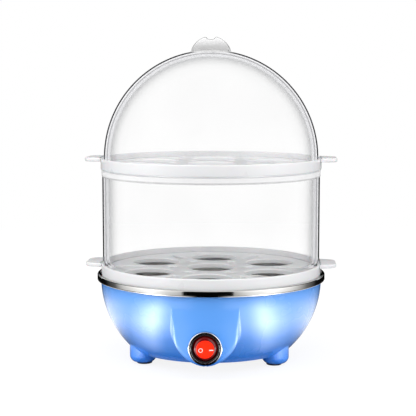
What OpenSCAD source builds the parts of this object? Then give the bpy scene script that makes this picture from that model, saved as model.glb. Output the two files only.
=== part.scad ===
// Two-tier electric egg cooker: a heated base, two egg trays, a clear steam ring and a domed lid.
// Millimetres. +Z is up, the front with the switch faces -Y, the origin is on the worktop under the centre.

/* [Base] */
// Outer radius of the base shell at its top edge
shell_r = 79.4; // [78.8:0.1:79.8]
// Height of the base shell's top edge above the worktop
shell_top = 57.5; // [56:0.5:60]
// Height of the base shell's flat underside above the worktop
shell_bottom = 7.5; // [7:0.5:8]
// Radius of the round flank of the shell, seen in section
flank_r = 68; // [66:1:72]
// Wall thickness of the base shell
shell_wall = 2; // [1.8:0.1:2]
// Width of the switch housing that stands out of the front
pod_w = 45; // [44:0.5:47]
// Height of the centre of the switch housing's round lower end
pod_z = 32.7; // [32:0.1:34]

/* [Heating dish] */
// Outer radius of the dish's steel rim
rim_r = 82; // [81.8:0.1:83]
// Height of the steel rim band
rim_h = 4.1; // [3.8:0.1:4.5]
// Thickness of the dish's sheet
sheet = 0.8; // [0.6:0.1:0.9]
// Depth of the water basin below the ledge that carries the tray
basin_depth = 14.4; // [12:0.2:15]

/* [Egg trays] */
// Outer radius of a tray's wall
tray_r = 79; // [78.8:0.1:79.2]
// Height of a tray's wall
tray_h = 8.5; // [8.3:0.1:9]
// Diameter of an egg seat
seat_d = 34; // [30:1:35]
// Radius of the circle of the six outer egg seats
seat_ring_r = 48.5; // [48:0.5:49]
// Distance between the tips of a tray's two ears
ear_span = 180; // [176:1:184]

/* [Steam ring] */
// Outer radius of the clear steam ring
ring_r = 78; // [77.8:0.1:78.2]
// Wall thickness of the steam ring
ring_wall = 1.8; // [1.5:0.1:2]
// Height of the steam ring
ring_h = 71; // [66:0.5:80]

/* [Lid] */
// Outer radius of the domed lid
dome_r = 76.7; // [76.5:0.1:76.8]
// Wall thickness of the lid
dome_wall = 1.8; // [1.5:0.1:2.2]
// Height of the lid's grip above the crown of the dome
grip_rise = 9.6; // [8:0.1:11]
// Thickness of the grip from front to back
grip_t = 10; // [8:0.5:12]

/* [Switch] */
// Height of the switch's centre above the worktop
switch_z = 22.4; // [22:0.1:23]
// Outer diameter of the switch's bright trim ring
bezel_d = 22.8; // [22:0.1:23]
// Angle between the rocker's off and on positions
rocker_swing = 14; // [10:1:16]

/* [Feet] */
// Radius of the circle on which the three feet stand
foot_ring_r = 54; // [53:0.5:55]
// Diameter of a foot
foot_d = 19; // [17:0.5:20]

/* [Hidden] */
$fn = 96;

eps = 0.01;
slack = 0.3;                                   // gap between two pieces that lift apart
thread_gap = 0.02;                             // gap between a screw and the hole it is cut into

// Heights of the stack
rim_top = shell_top + rim_h - 0.1;
ledge_z = rim_top - 1.1;                       // ledge of the dish, where the lower tray stands
basin_z = ledge_z - basin_depth;               // top of the basin floor
dish_under = basin_z - sheet;                  // underside of the basin floor
plate_top = tray_h - 4;                        // top of a tray's plate above the tray's lower edge
plate_t = 1.8;
lower_tray_z = ledge_z;
ring_z = lower_tray_z + plate_top;             // the steam ring stands on the lower tray's plate
upper_tray_z = ring_z + ring_h;
lid_z = upper_tray_z + plate_top;              // the lid stands on the upper tray's plate
dome_z = upper_tray_z + tray_h - 0.2;          // centre of the dome's sphere
crown_z = dome_z + dome_r;

// Trays
rim_inner_r = tray_r - 1.9;                    // inside of the rim, round the ring or the lid
spigot_r = 74;                                 // skirt under the plate that centres the tray
seat_angles = [for (k = [0:5]) 30 + 60 * k];   // one seat faces the front
slot_angles = [for (k = [0:5]) 60 * k];

// Base shell and its floor
cover_r = 43;
cover_t = 2;
opening_r = 37;                                // hole in the shell's floor, under the cover
floor_z = shell_bottom + cover_t + shell_wall; // inside of the stepped floor
cover_screw_r = 40;
cover_screw_angles = [30, 150, 270];
foot_angles = [210, 330, 90];
foot_screw_r = foot_ring_r - 1;                // the pad and the screw share one centre

// Cord gland, at the back
gland_z = 25;
gland_bore_r = 3.3;
gland_neck_r = 5;
gland_flange_r = 7;
gland_face_y = 74.6;                             // outer face of the shell's boss
gland_inner_y = 62;                            // inner face of the shell's boss

// Terminal block, on the floor at the back
block_y = 40;
block_h = 11;
poles = [-12, -4, 4, 12];
pole_z = floor_z + 5;
pole_y = block_y - 4;                          // front end of a brass clamp

// What hangs from the dish
stud_angles = [60, 180, 300];
stud_ring_r = 62;
stud_r = 2;
lug_z = 36;
lug_t = 3;
heater_h = 7;
heater_w = 24;
heater_l = 62;
heater_y = 14;
heater_z = dish_under - heater_h;
lead_z = heater_z + heater_h / 2;              // height of the heater's two leads
insulation_t = 0.6;
clamp_t = 1.2;
clamp_x = 40;
clamp_z = heater_z - insulation_t - clamp_t;
tag_t = 0.8;
nut_h = 3.2;
thermo_y = -18;
thermo_d = 14.8;
thermo_screw_x = 12;
thermo_tab_x = 4;
thermo_tab_z = dish_under - 17;                // lower end of the thermostat's tabs
thermo_plug_z = thermo_tab_z - 4;              // lower end of the connectors pushed on them
fuse_y = heater_y + 16;
fuse_z = heater_z + 2;

// Switch: depths run from the trim ring's seat into the base
pod_r = shell_r - 0.6;                         // round face of the switch housing
face_y = -78.1;                                // flat seat on the switch housing
pivot_depth = 2.5;                             // rocker's pivot line, vertical
pivot_y = face_y + pivot_depth;
rocker_r = 8.4;                                // the rocker's side is a ball round its pivot
well_r = 8.8;                                  // round opening in the switch body
well_depth = 8;
blade_depth = 10.6;                            // the contact blade rocks on the middle terminal here
blade_swing = 12;
bead_r = 0.25;                                 // bead on the blade's back, in a groove of the terminal
terminal_x = [-4.8, 0, 4.8];
terminal_depth = 20;                           // back face of the switch body
plug_depth = 30;                               // back end of the connectors on the terminals

// Points along an arc
function arc(c, r, from, to, n = 8) =
    [for (i = [0:n]) c + r * [cos(from + (to - from) * i / n), sin(from + (to - from) * i / n)]];

// ---------------------------------------------------------------- wires and springs
// One ring of points round a wire, square to its direction
function wire_ring(p, dir, r, sides) =
    let (side = norm(cross(dir, [0, 0, 1])) > 0.1 ? cross(dir, [0, 0, 1]) : cross(dir, [1, 0, 0]),
         u = side / norm(side),
         v = cross(dir, u))
    [for (k = [0:sides - 1]) p + r * (cos(360 * k / sides) * u + sin(360 * k / sides) * v)];

// Point at t (0 to 1) on the smooth curve from b to c, with neighbours a and d
function smooth_point(a, b, c, d, t) =
    0.5 * (2 * b + (c - a) * t + (2 * a - 5 * b + 4 * c - d) * t * t + (3 * b - a - 3 * c + d) * t * t * t);

// A smooth line through the points of a route
function smooth_route(route, steps = 3) =
    let (last = len(route) - 1)
    concat(
        [for (i = [0:last - 1], k = [0:steps - 1])
            smooth_point(route[max(i - 1, 0)], route[i], route[i + 1], route[min(i + 2, last)], k / steps)],
        [route[last]]);

// A closed tube of the given diameter along a line of points, with its ends square to the given directions
module swept(line, from_dir, to_dir, d, sides = 8) {
    last = len(line) - 1;
    rings = [for (i = [0:last])
        let (dir = i == 0 ? from_dir : i == last ? to_dir : line[i + 1] - line[i - 1])
        wire_ring(line[i], dir / norm(dir), d / 2, sides)];
    polyhedron(
        points = [for (ring = rings) each ring],
        faces = concat(
            [[for (k = [0:sides - 1]) k]],
            [[for (k = [sides - 1:-1:0]) last * sides + k]],
            [for (i = [0:last - 1], k = [0:sides - 1])
                let (a = i * sides + k, b = i * sides + (k + 1) % sides)
                [a, a + sides, b + sides, b]]));
}

module wire(route, d = 2.2) {
    last = len(route) - 1;
    swept(smooth_route(route), route[1] - route[0], route[last] - route[last - 1], d);
}

// ---------------------------------------------------------------- fasteners
// A pan-head screw with its thread pointing up; the underside of its head is at z = 0
module screw_up(d, length, head_d, head_h) {
    translate([0, 0, -head_h]) cylinder(d = head_d, h = head_h);
    translate([0, 0, -eps]) cylinder(d = d, h = length + eps);
}

module ring(outer_d, bore_d, h) {
    difference() {
        cylinder(d = outer_d, h = h);
        translate([0, 0, -1]) cylinder(d = bore_d, h = h + 2);
    }
}

module hex_nut(across, bore_d, h) {
    difference() {
        cylinder(d = across / cos(30), h = h, $fn = 6);
        translate([0, 0, -1]) cylinder(d = bore_d, h = h + 2);
    }
}

// Children placed round the axis at the given angles
module round_at(angles, r) {
    for (a = angles) rotate([0, 0, a]) translate([r, 0, 0]) children();
}

// ---------------------------------------------------------------- base
// Solid of revolution inside the shell's outer surface, drawn in by t
module shell_form(t, bottom, top) {
    centre = [shell_r - flank_r, shell_top + 0.5];
    r = flank_r - t;
    from = asin((bottom - centre[1]) / r);
    to = asin((top - centre[1]) / r);
    rotate_extrude() polygon(concat([[0, bottom]], arc(centre, r, from, to, 16), [[0, top]]));
}

// The switch housing, drawn in by t: a U-shaped tongue that carries the shell's girth straight down
module pod_form(t) {
    intersection() {
        translate([0, -50, 0]) rotate([90, 0, 0]) linear_extrude(40) union() {
            translate([0, pod_z]) circle(d = pod_w - 2 * t);
            translate([-pod_w / 2 + t, pod_z]) square([pod_w - 2 * t, shell_top - pod_z]);
        }
        cylinder(r = pod_r - t, h = shell_top);
    }
}

// Shelves for the dish's studs, grown out of the shell's wall
module stud_lugs() {
    for (a = stud_angles) rotate([0, 0, a]) {
        translate([stud_ring_r - 6, -6, lug_z]) cube([20, 12, lug_t]);
        translate([stud_ring_r + 5, -1, lug_z - 16]) cube([14, 2, 16 + eps]);
    }
}

module base_shell() {
    boss_h = 8;
    boss_r = 8.5;
    pilot_d = 2.9 + 2 * thread_gap;
    color("#6aa5f8") difference() {
        union() {
            difference() {
                union() {
                    shell_form(0, shell_bottom, shell_top);
                    pod_form(0);
                }
                shell_form(shell_wall, shell_bottom + shell_wall, shell_top + 1);
                pod_form(shell_wall);
                translate([0, 0, shell_bottom - 1]) cylinder(r = cover_r + 2, h = 5);
            }
            // stepped floor that the bottom cover is let into
            translate([0, 0, shell_bottom]) difference() {
                cylinder(r = cover_r + 2 + eps, h = floor_z - shell_bottom);
                translate([0, 0, -1]) cylinder(r = cover_r + 0.3, h = cover_t + 1);
            }
            // bosses for the cover's and the feet's screws
            round_at(cover_screw_angles, cover_screw_r)
                translate([0, 0, shell_bottom + cover_t]) cylinder(d = 5.6, h = boss_h);
            round_at(foot_angles, foot_screw_r)
                translate([0, 0, shell_bottom + eps]) cylinder(d = 7, h = boss_h + 1);
            // boss for the cord gland
            translate([0, gland_inner_y, gland_z]) rotate([-90, 0, 0])
                cylinder(r = boss_r, h = gland_face_y - gland_inner_y);
            intersection() {
                stud_lugs();
                shell_form(shell_wall / 2, shell_bottom, shell_top);
            }
        }
        translate([0, 0, shell_bottom - 1]) cylinder(r = opening_r, h = 10);
        round_at(cover_screw_angles, cover_screw_r)
            translate([0, 0, shell_bottom]) cylinder(d = pilot_d, h = boss_h + 1.5);
        round_at(foot_angles, foot_screw_r)
            translate([0, 0, shell_bottom - 1]) cylinder(d = pilot_d, h = boss_h);
        round_at(stud_angles, stud_ring_r)
            translate([0, 0, lug_z - 1]) cylinder(r = stud_r + 0.3, h = lug_t + 2);
        translate([0, block_y, shell_bottom]) cylinder(d = pilot_d, h = 10);
        // flat seat and round hole for the switch, and the gland's hole
        translate([0, face_y - 5, switch_z]) rotate([-90, 0, 0]) cylinder(d = bezel_d + 0.4, h = 5);
        translate([0, face_y - 1, switch_z]) rotate([-90, 0, 0]) cylinder(r = 10.1, h = 6);
        translate([0, 50, gland_z]) rotate([-90, 0, 0]) cylinder(r = gland_neck_r + 0.1, h = 30);
    }
}

// Round cover with vent slots, let into the shell's floor
module bottom_cover() {
    slot_w = 2.6;
    slot_pitch = 6;
    color("#5b97ee") translate([0, 0, shell_bottom]) difference() {
        union() {
            cylinder(r = cover_r, h = cover_t);
            translate([0, 0, cover_t - eps]) ring(2 * opening_r - 0.8, 2 * opening_r - 4, 2);
        }
        for (k = [-3:3]) translate([k * slot_pitch - slot_w / 2, -10, -1]) cube([slot_w, 20, 6]);
        round_at(cover_screw_angles, cover_screw_r) translate([0, 0, -1]) cylinder(d = 3.2, h = 6);
        round_at(cover_screw_angles, cover_screw_r) translate([0, 0, -1]) cylinder(d = 5.8, h = 2.2);
        translate([0, block_y, -1]) cylinder(d = 3.4, h = 6);
    }
}

module cover_screws() {
    color("silver") round_at(cover_screw_angles, cover_screw_r)
        translate([0, 0, shell_bottom + 1.2]) screw_up(2.9, 7.4, 5.4, 1.1);
}

// A rounded foot fitted against the shell's flank, with a recess for its screw and pad
module foot(angle) {
    corner = 5;
    r = foot_d / 2;
    color("#3f7fe8") difference() {
        rotate([0, 0, angle]) translate([foot_ring_r, 0, 0]) rotate_extrude()
            polygon(concat([[0, 1], [r - corner, 1]],
                arc([r - corner, 1 + corner], corner, -90, 0, 6), [[r, 15], [0, 15]]));
        shell_form(0, shell_bottom, shell_top);
        round_at([angle], foot_screw_r) translate([0, 0, -1]) cylinder(d = 3.2, h = 12);
        round_at([angle], foot_screw_r) translate([0, 0, -1]) cylinder(d = 5.4, h = 4.4);
        round_at([angle], foot_screw_r) translate([0, 0, -1]) cylinder(d = 11.4, h = 3);
    }
}

module foot_front_left() foot(foot_angles[0]);
module foot_front_right() foot(foot_angles[1]);
module foot_rear() foot(foot_angles[2]);

module foot_pads() {
    color("#2b3550") round_at(foot_angles, foot_screw_r) cylinder(d = 11, h = 2);
}

module foot_screws() {
    color("silver") round_at(foot_angles, foot_screw_r) translate([0, 0, 3.4]) screw_up(2.9, 10, 5, 1.2);
}

// ---------------------------------------------------------------- mains entry
// Flanged bush that the cord comes in through, held by a nut inside
module cord_gland() {
    color("#20242c") translate([0, 0, gland_z]) rotate([-90, 0, 0]) difference() {
        union() {
            translate([0, 0, gland_inner_y - 4]) cylinder(r = gland_neck_r, h = gland_face_y - gland_inner_y + 5);
            translate([0, 0, gland_face_y]) cylinder(r = gland_flange_r, h = 4);
        }
        translate([0, 0, 50]) cylinder(r = gland_bore_r, h = 30);
    }
}

module gland_nut() {
    color("#3a3f49") translate([0, gland_inner_y - 3, gland_z]) rotate([-90, 0, 0])
        hex_nut(13, 2 * (gland_neck_r + thread_gap), 3);
}

module terminal_block() {
    color("ivory") translate([0, block_y, floor_z]) difference() {
        translate([-17, -5, 0]) cube([34, 10, block_h]);
        for (x = poles) {
            translate([x, -6, 5]) rotate([-90, 0, 0]) cylinder(r = 2.6, h = 12);
            translate([x, 0, 5]) cylinder(r = 1.8, h = 8);
        }
        translate([0, 0, -1]) cylinder(d = 1.2 + 1.8, h = 14);
        translate([0, 0, 6]) cylinder(d = 3.6, h = 8);
    }
}

// Brass tubes that join the cord's cores to the cooker's own wires, each with a clamping screw
module block_clamps() {
    color("goldenrod") for (x = poles) translate([x, block_y, pole_z]) {
        difference() {
            translate([0, -4, 0]) rotate([-90, 0, 0]) cylinder(r = 2.5, h = 8);
            translate([0, -5, 0]) rotate([-90, 0, 0]) cylinder(r = 1.4, h = 10);
            cylinder(r = 1.4, h = 4);
        }
        translate([0, 0, 1.5]) cylinder(r = 1.3, h = 4);
    }
}

module block_screw() {
    color("silver") translate([0, block_y, floor_z + 6]) {
        cylinder(d = 3.4, h = 1.6);
        translate([0, 0, shell_bottom - floor_z - 5]) cylinder(d = 2.9, h = floor_z - shell_bottom + 5 + eps);
    }
}

// ---------------------------------------------------------------- heating dish
// Pressed dish: rim band, ledge for the tray, steep wall and flat basin floor
module heating_dish() {
    wall_top_r = 75;
    wall_foot_r = 73.9;
    fillet = 4;
    lip = 1.2;
    upper = concat(
        [[rim_r, rim_top - rim_h]],
        arc([rim_r - lip, rim_top - lip], lip, 0, 90, 4),
        [[80.6, rim_top], [80, ledge_z]],
        arc([wall_top_r + lip, ledge_z - lip], lip, 90, 180, 4),
        arc([wall_foot_r - fillet, basin_z + fillet], fillet, 0, -90, 6),
        [[0, basin_z]]);
    under = concat(
        [[0, dish_under]],
        arc([wall_foot_r - fillet, basin_z + fillet], fillet + sheet, -90, 0, 6),
        [[wall_top_r + sheet, ledge_z - lip], [wall_top_r + lip + 0.3, ledge_z - sheet],
         [80.4, ledge_z - sheet], [rim_r - sheet, ledge_z], [rim_r - sheet, rim_top - rim_h]]);
    color("gainsboro") rotate_extrude($fn = 128) polygon(concat(upper, under));
}

module dish_gasket() {
    color("whitesmoke") translate([0, 0, shell_top])
        ring(2 * shell_r - 0.2, 2 * shell_r - 4.2, ledge_z - sheet - shell_top);
}

// Studs and threaded posts welded under the dish
module dish_studs() {
    color("silver") {
        round_at(stud_angles, stud_ring_r) translate([0, 0, 29]) cylinder(r = stud_r, h = dish_under - 29);
        for (x = [-clamp_x, clamp_x])
            translate([x, heater_y, 30]) cylinder(r = stud_r, h = dish_under - 30);
        for (x = [-thermo_screw_x, thermo_screw_x])
            translate([x, thermo_y, dish_under - 4]) ring(5.4, 3 + 2 * thread_gap, 4);
    }
}

module dish_washers() {
    color("silver") round_at(stud_angles, stud_ring_r) translate([0, 0, lug_z - 0.8]) ring(9, 4.4, 0.8);
}

module dish_nuts() {
    color("silver") round_at(stud_angles, stud_ring_r)
        translate([0, 0, lug_z - 0.8 - nut_h]) hex_nut(7, 2 * (stud_r + thread_gap), nut_h);
}

// ---------------------------------------------------------------- heater
module heater_case() {
    wall = 2;
    skin = 1.5;
    color("silver") translate([-heater_l / 2, heater_y - heater_w / 2, heater_z]) difference() {
        cube([heater_l, heater_w, heater_h]);
        translate([-1, wall, skin]) cube([heater_l + 2, heater_w - 2 * wall, heater_h - 2 * skin]);
    }
}

module heater_core() {
    color("#8a5a3c") translate([-heater_l / 2 + 4, heater_y - heater_w / 2 + 2, heater_z + 1.5])
        cube([heater_l - 8, heater_w - 4, heater_h - 3]);
}

module heater_insulation() {
    color("wheat") translate([-heater_l / 2 - 1, heater_y - heater_w / 2 - 1, heater_z - insulation_t])
        cube([heater_l + 2, heater_w + 2, insulation_t]);
}

// Folded strap that presses the heater to the dish
module heater_clamp() {
    strap_w = 12;
    color("lightgray") difference() {
        union() {
            translate([-clamp_x - 5, heater_y - strap_w / 2, clamp_z]) cube([2 * clamp_x + 10, strap_w, clamp_t]);
            for (y = [-strap_w / 2, strap_w / 2 - 1])
                translate([-30, heater_y + y, clamp_z - 2]) cube([60, 1, 2 + eps]);
        }
        for (x = [-clamp_x, clamp_x])
            translate([x, heater_y, clamp_z - 1]) cylinder(r = stud_r + 0.2, h = 4);
    }
}

module clamp_nuts() {
    color("silver") {
        translate([-clamp_x, heater_y, clamp_z - nut_h]) hex_nut(7, 2 * (stud_r + thread_gap), nut_h);
        translate([clamp_x, heater_y, clamp_z - tag_t - nut_h]) hex_nut(7, 2 * (stud_r + thread_gap), nut_h);
    }
}

tag_barrel_y = heater_y + 12;
tag_barrel_z = clamp_z - tag_t - 0.7;

// Ring terminal under the right-hand clamp nut
module earth_tag() {
    color("goldenrod") difference() {
        union() {
            translate([clamp_x, heater_y, clamp_z - tag_t]) cylinder(r = 4.2, h = tag_t);
            translate([clamp_x - 1.5, heater_y, clamp_z - tag_t]) cube([3, 12, tag_t]);
            translate([clamp_x, tag_barrel_y - 4, tag_barrel_z]) rotate([-90, 0, 0]) cylinder(r = 1.5, h = 8);
        }
        translate([clamp_x, heater_y, clamp_z - 3]) cylinder(r = stud_r + 0.1, h = 4);
        translate([clamp_x, tag_barrel_y, tag_barrel_z]) rotate([-90, 0, 0]) cylinder(r = 1.1, h = 8);
    }
}

// ---------------------------------------------------------------- thermostat and fuse
module thermostat_cap() {
    color("silver") translate([0, thermo_y, dish_under - 4]) difference() {
        cylinder(d = thermo_d + 1.2, h = 4);
        translate([0, 0, -1]) cylinder(d = thermo_d, h = 4.4);
    }
}

module thermostat_body() {
    color("#3b2a20") translate([0, thermo_y, dish_under - 10]) cylinder(d = thermo_d, h = 9.4);
}

module thermostat_bracket() {
    color("lightgray") translate([0, thermo_y, dish_under - 5]) difference() {
        union() {
            cylinder(d = 18, h = 1);
            translate([-16, -4, 0]) cube([32, 8, 1]);
        }
        translate([0, 0, -1]) cylinder(d = thermo_d + 0.2, h = 3);
        for (x = [-thermo_screw_x, thermo_screw_x]) translate([x, 0, -1]) cylinder(d = 3.4, h = 3);
    }
}

module thermostat_screws() {
    color("silver") for (x = [-thermo_screw_x, thermo_screw_x])
        translate([x, thermo_y, dish_under - 5]) screw_up(3, 4, 5.6, 1.6);
}

module thermostat_tabs() {
    color("goldenrod") for (side = [-1, 1])
        translate([side * thermo_tab_x - 0.4, thermo_y - 3.15, thermo_tab_z])
            cube([0.8, 6.3, dish_under - 10 - thermo_tab_z]);
}

module thermostat_connectors() {
    color("whitesmoke") for (side = [-1, 1])
        translate([side * thermo_tab_x, thermo_y, 0]) difference() {
            translate([-1.8, -4, thermo_plug_z]) cube([3.6, 8, 9.5]);
            translate([-0.4, -3.15, thermo_tab_z]) cube([0.8, 6.3, 12]);
        }
}

module thermal_fuse() {
    color("khaki") translate([-6, fuse_y, fuse_z]) rotate([0, 90, 0]) cylinder(d = 4, h = 12);
}

module fuse_sleeve() {
    color("whitesmoke") translate([-9, fuse_y, fuse_z]) rotate([0, 90, 0]) ring(5, 4 + 2 * thread_gap, 18);
}

// ---------------------------------------------------------------- switch
// Places children with +Z along the switch's axis, from the trim ring's seat into the base,
// and +X as the cooker's own +X
module on_switch(depth = 0) {
    translate([0, face_y + depth, switch_z]) rotate([-90, 0, 0]) children();
}

module switch_body() {
    color("#15161a") difference() {
        on_switch() difference() {
            union() {
                translate([0, 0, -1.6]) cylinder(r = 9.6, h = 1.6 + eps);
                cylinder(r = 9.9, h = 10);
                translate([-7.5, -8, 9]) cube([15, 16, terminal_depth - 9]);
            }
            translate([0, 0, -3]) cylinder(r = well_r, h = 3 + well_depth);
            translate([-6.2, -3.4, 5]) cube([12.4, 6.8, 9]);
            for (x = terminal_x) translate([x - 0.4, -3.1, 13]) cube([0.8, 6.2, 10]);
        }
        // bearings for the rocker's pins
        translate([0, pivot_y, switch_z - 9.4]) cylinder(r = 1.05, h = 18.8);
    }
}

module switch_bezel() {
    lip = 1.3;
    color("gainsboro") on_switch() rotate_extrude()
        polygon(concat([[9.65, 0], [bezel_d / 2, 0]],
            arc([bezel_d / 2 - lip, -0.7], lip, 0, -90, 5), [[9.65, -0.7 - lip]]));
}

// Three flat tabs; the rocking contact stands on the middle one
module switch_terminals() {
    contact_gap = 0.62;
    color("goldenrod") difference() {
        for (x = terminal_x) {
            inner = blade_depth + (x == 0 ? 0.05 : contact_gap);
            on_switch(inner) translate([x - 0.4, -3.1, 0]) cube([0.8, 6.2, terminal_depth + 7 - inner]);
        }
        on_switch(blade_depth) rotate([90, 0, 0]) cylinder(r = bead_r + 0.05, h = 8, center = true);
    }
}

module switch_connectors() {
    color("whitesmoke") for (x = terminal_x) on_switch() difference() {
        translate([x - 1.9, -4, terminal_depth + 0.5]) cube([3.8, 8, plug_depth - terminal_depth - 0.5]);
        translate([x - 0.4, -3.1, terminal_depth]) cube([0.8, 6.2, 7]);
    }
}

// Glow lamp on two leads, behind the rocker's face
module switch_lamp() {
    lamp_r = 1.1;
    color("orange") on_switch(pivot_depth + 1.4) {
        translate([-2.4, -4.2, 0]) rotate([0, 90, 0]) cylinder(r = lamp_r, h = 4.8);
        for (x = [-2, 2]) translate([x, -4.2, 0]) cylinder(r = 0.3, h = well_depth - pivot_depth - 1.4);
    }
}

// Places children on the rocker's pivot line, turned to the on position
module on_rocker() {
    translate([0, pivot_y, switch_z]) rotate([0, 0, rocker_swing / 2]) children();
}

// Ball-sided button, hollow behind, with two pivot pins and a sleeve for the plunger
module rocker() {
    crown = 4.4;
    face_r = 6.2;
    back = 3;
    widen = 2.2 / 1.4;                         // how fast the button widens behind its face
    skin = 1.6;
    pin_end = 9.2;
    color("#ff2a10") on_rocker() {
        difference() {
            intersection() {
                sphere(r = rocker_r);
                translate([0, -crown, 0]) rotate([-90, 0, 0])
                    cylinder(r1 = face_r, r2 = face_r + widen * (crown + back), h = crown + back);
            }
            translate([0, skin - crown, 0]) rotate([-90, 0, 0]) cylinder(r = face_r, h = 12);
        }
        translate([0, skin - crown - eps, 0]) rotate([-90, 0, 0]) ring(4.8, 3.2, 7);
        for (z = [-pin_end, pin_end - 3.2]) translate([0, 0, z]) cylinder(r = 1, h = 3.2);
    }
}

plunger_tip = blade_depth - 0.7 - pivot_depth; // tip of the plunger, behind the pivot line

module rocker_plunger() {
    color("goldenrod") on_rocker() rotate([-90, 0, 0]) {
        translate([0, 0, 1.2]) cylinder(d = 3, h = plunger_tip - 2.7);
        translate([0, 0, plunger_tip - 1.5]) sphere(r = 1.5);
    }
}

// Coil spring that pushes the plunger against the contact
module rocker_spring() {
    turns = 4;
    coil_r = 1.1;
    from = -2.4;
    to = 0.9;
    color("silver") on_rocker() swept([for (i = [0:turns * 10])
        [coil_r * cos(36 * i), from + (to - from) * i / (turns * 10), coil_r * sin(36 * i)]],
        [0, 0, 1], [0, 0, 1], 0.4, 6);
}

// Brass blade that rocks on the middle terminal and bridges it to one of its neighbours
module contact_blade() {
    blade_t = 0.6;
    color("goldenrod") on_switch(blade_depth) rotate([0, blade_swing / 2, 0]) {
        translate([-5.2, -2.5, -blade_t]) cube([10.4, 5, blade_t]);
        rotate([90, 0, 0]) cylinder(r = bead_r, h = 5, center = true);
    }
}

// ---------------------------------------------------------------- wiring
plug_y = face_y + plug_depth;

module live_wire() {
    color("saddlebrown") wire([[-12, pole_y, pole_z], [-12, 29, pole_z], [-26, 10, 14], [-26, -14, 14],
        [-12, -32, 15], [-3, -37, 19], [0, -42, switch_z], [0, plug_y, switch_z]]);
}

module switched_wire() {
    color("saddlebrown") wire([[-4.8, plug_y, switch_z], [-4.8, -42, switch_z], [-6, -34, 23], [-5, -24, 20],
        [-4, thermo_y, 20.5], [-4, thermo_y, thermo_plug_z]]);
}

module heater_wire() {
    color("whitesmoke") wire([[4, thermo_y, thermo_plug_z], [4, thermo_y, 20.5], [1, -10, 17], [-14, 8, 19],
        [-20, 24, 26], [-20, 32, 36], [-16, 31, fuse_z], [-9, fuse_y, fuse_z]]);
}

module fuse_wire() {
    color("whitesmoke") wire([[9, fuse_y, fuse_z], [16, 31, fuse_z], [30, 31, 41], [37, 25, lead_z],
        [34, 17, lead_z], [27, 17, lead_z]]);
}

module neutral_wire() {
    color("royalblue") wire([[4, pole_y, pole_z], [4, 29, pole_z], [12, 18, 18], [26, 6, 24],
        [36, 1, 32], [37, 3, 38], [34, 9, lead_z], [27, 9, lead_z]]);
}

module lamp_wire() {
    color("royalblue") wire([[4.8, plug_y, switch_z], [4.8, -42, switch_z], [16, -30, 15], [22, -10, 14],
        [10, 8, 14], [-2, 24, 15], [-4, 30, pole_z], [-4, pole_y, pole_z]]);
}

module earth_wire() {
    color("yellowgreen") wire([[12, pole_y, pole_z], [12, 30, pole_z], [24, 32, 20], [38, 38, 26],
        [clamp_x, 37, 33], [clamp_x, 33, tag_barrel_z], [clamp_x, 30, tag_barrel_z],
        [clamp_x, tag_barrel_y, tag_barrel_z]]);
}

// ---------------------------------------------------------------- trays
// Half of an ear's outline, from the tray's wall to the middle of its tip
function ear_half(root_w, tip_x, tip_r) =
    concat([[70, root_w / 2], [77, root_w / 2]], arc([tip_x - tip_r, tip_r], tip_r, 70, 0, 6));

// A flat ear at the tray's +X side, to lift the tray by
module ear() {
    ear_t = 2.8;
    half = ear_half(30, ear_span / 2, 7);
    mirrored = [for (i = [len(half) - 1:-1:0]) [half[i][0], -half[i][1]]];
    translate([0, 0, tray_h + 0.4 - ear_t]) difference() {
        linear_extrude(ear_t) polygon(concat(half, mirrored));
        translate([0, 0, -1]) cylinder(r = rim_inner_r + 0.6, h = ear_t + 2);
    }
}

// A hole through the plate with a bevelled upper edge
module bevelled_hole(d, bevel) {
    translate([0, 0, -5]) cylinder(d = d, h = plate_top + 6);
    translate([0, 0, plate_top - bevel]) cylinder(d1 = d, d2 = d + 4 * bevel, h = 2 * bevel);
}

module tray(z) {
    slot_w = 5;
    slot_from = 48.5;
    slot_to = 65;
    hole_ring_r = 28;
    collar_h = 1.6;
    skirt_t = 1.3;
    skirt_h = 4;
    plate_under = plate_top - plate_t;
    color("#e4e6e8") translate([0, 0, z]) difference() {
        union() {
            rotate_extrude($fn = 128) polygon(concat(
                [[0, plate_under], [spigot_r - skirt_t, plate_under], [spigot_r - skirt_t, -skirt_h],
                 [spigot_r, -skirt_h], [spigot_r, plate_under], [rim_inner_r - 0.1, plate_under],
                 [rim_inner_r - 0.1, 0], [tray_r - 0.6, 0], [tray_r, 1.5], [tray_r, tray_h - 1.4]],
                arc([tray_r - 1.2, tray_h - 0.8], 0.8, 0, 90, 4),
                [[rim_inner_r + 0.4, tray_h], [rim_inner_r, tray_h - 0.5], [rim_inner_r, plate_top],
                 [0, plate_top]]));
            // collars under the egg seats
            translate([0, 0, plate_under - collar_h]) cylinder(d = seat_d + 2.4, h = collar_h + eps);
            round_at(seat_angles, seat_ring_r)
                translate([0, 0, plate_under - collar_h]) cylinder(d = seat_d + 2.4, h = collar_h + eps);
            ear();
            rotate([0, 0, 180]) ear();
        }
        bevelled_hole(seat_d, 0.6);
        round_at(seat_angles, seat_ring_r) bevelled_hole(seat_d, 0.6);
        // steam slots at the edge and steam holes between the seats
        for (a = slot_angles) rotate([0, 0, a]) {
            for (r = [slot_from, slot_to]) translate([r, 0, -1]) cylinder(d = slot_w, h = tray_h);
            translate([slot_from, -slot_w / 2, -1]) cube([slot_to - slot_from, slot_w, tray_h]);
            translate([hole_ring_r, 0, 0]) bevelled_hole(6, 0.4);
        }
    }
}

module lower_tray() tray(lower_tray_z);
module upper_tray() tray(upper_tray_z);

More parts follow.
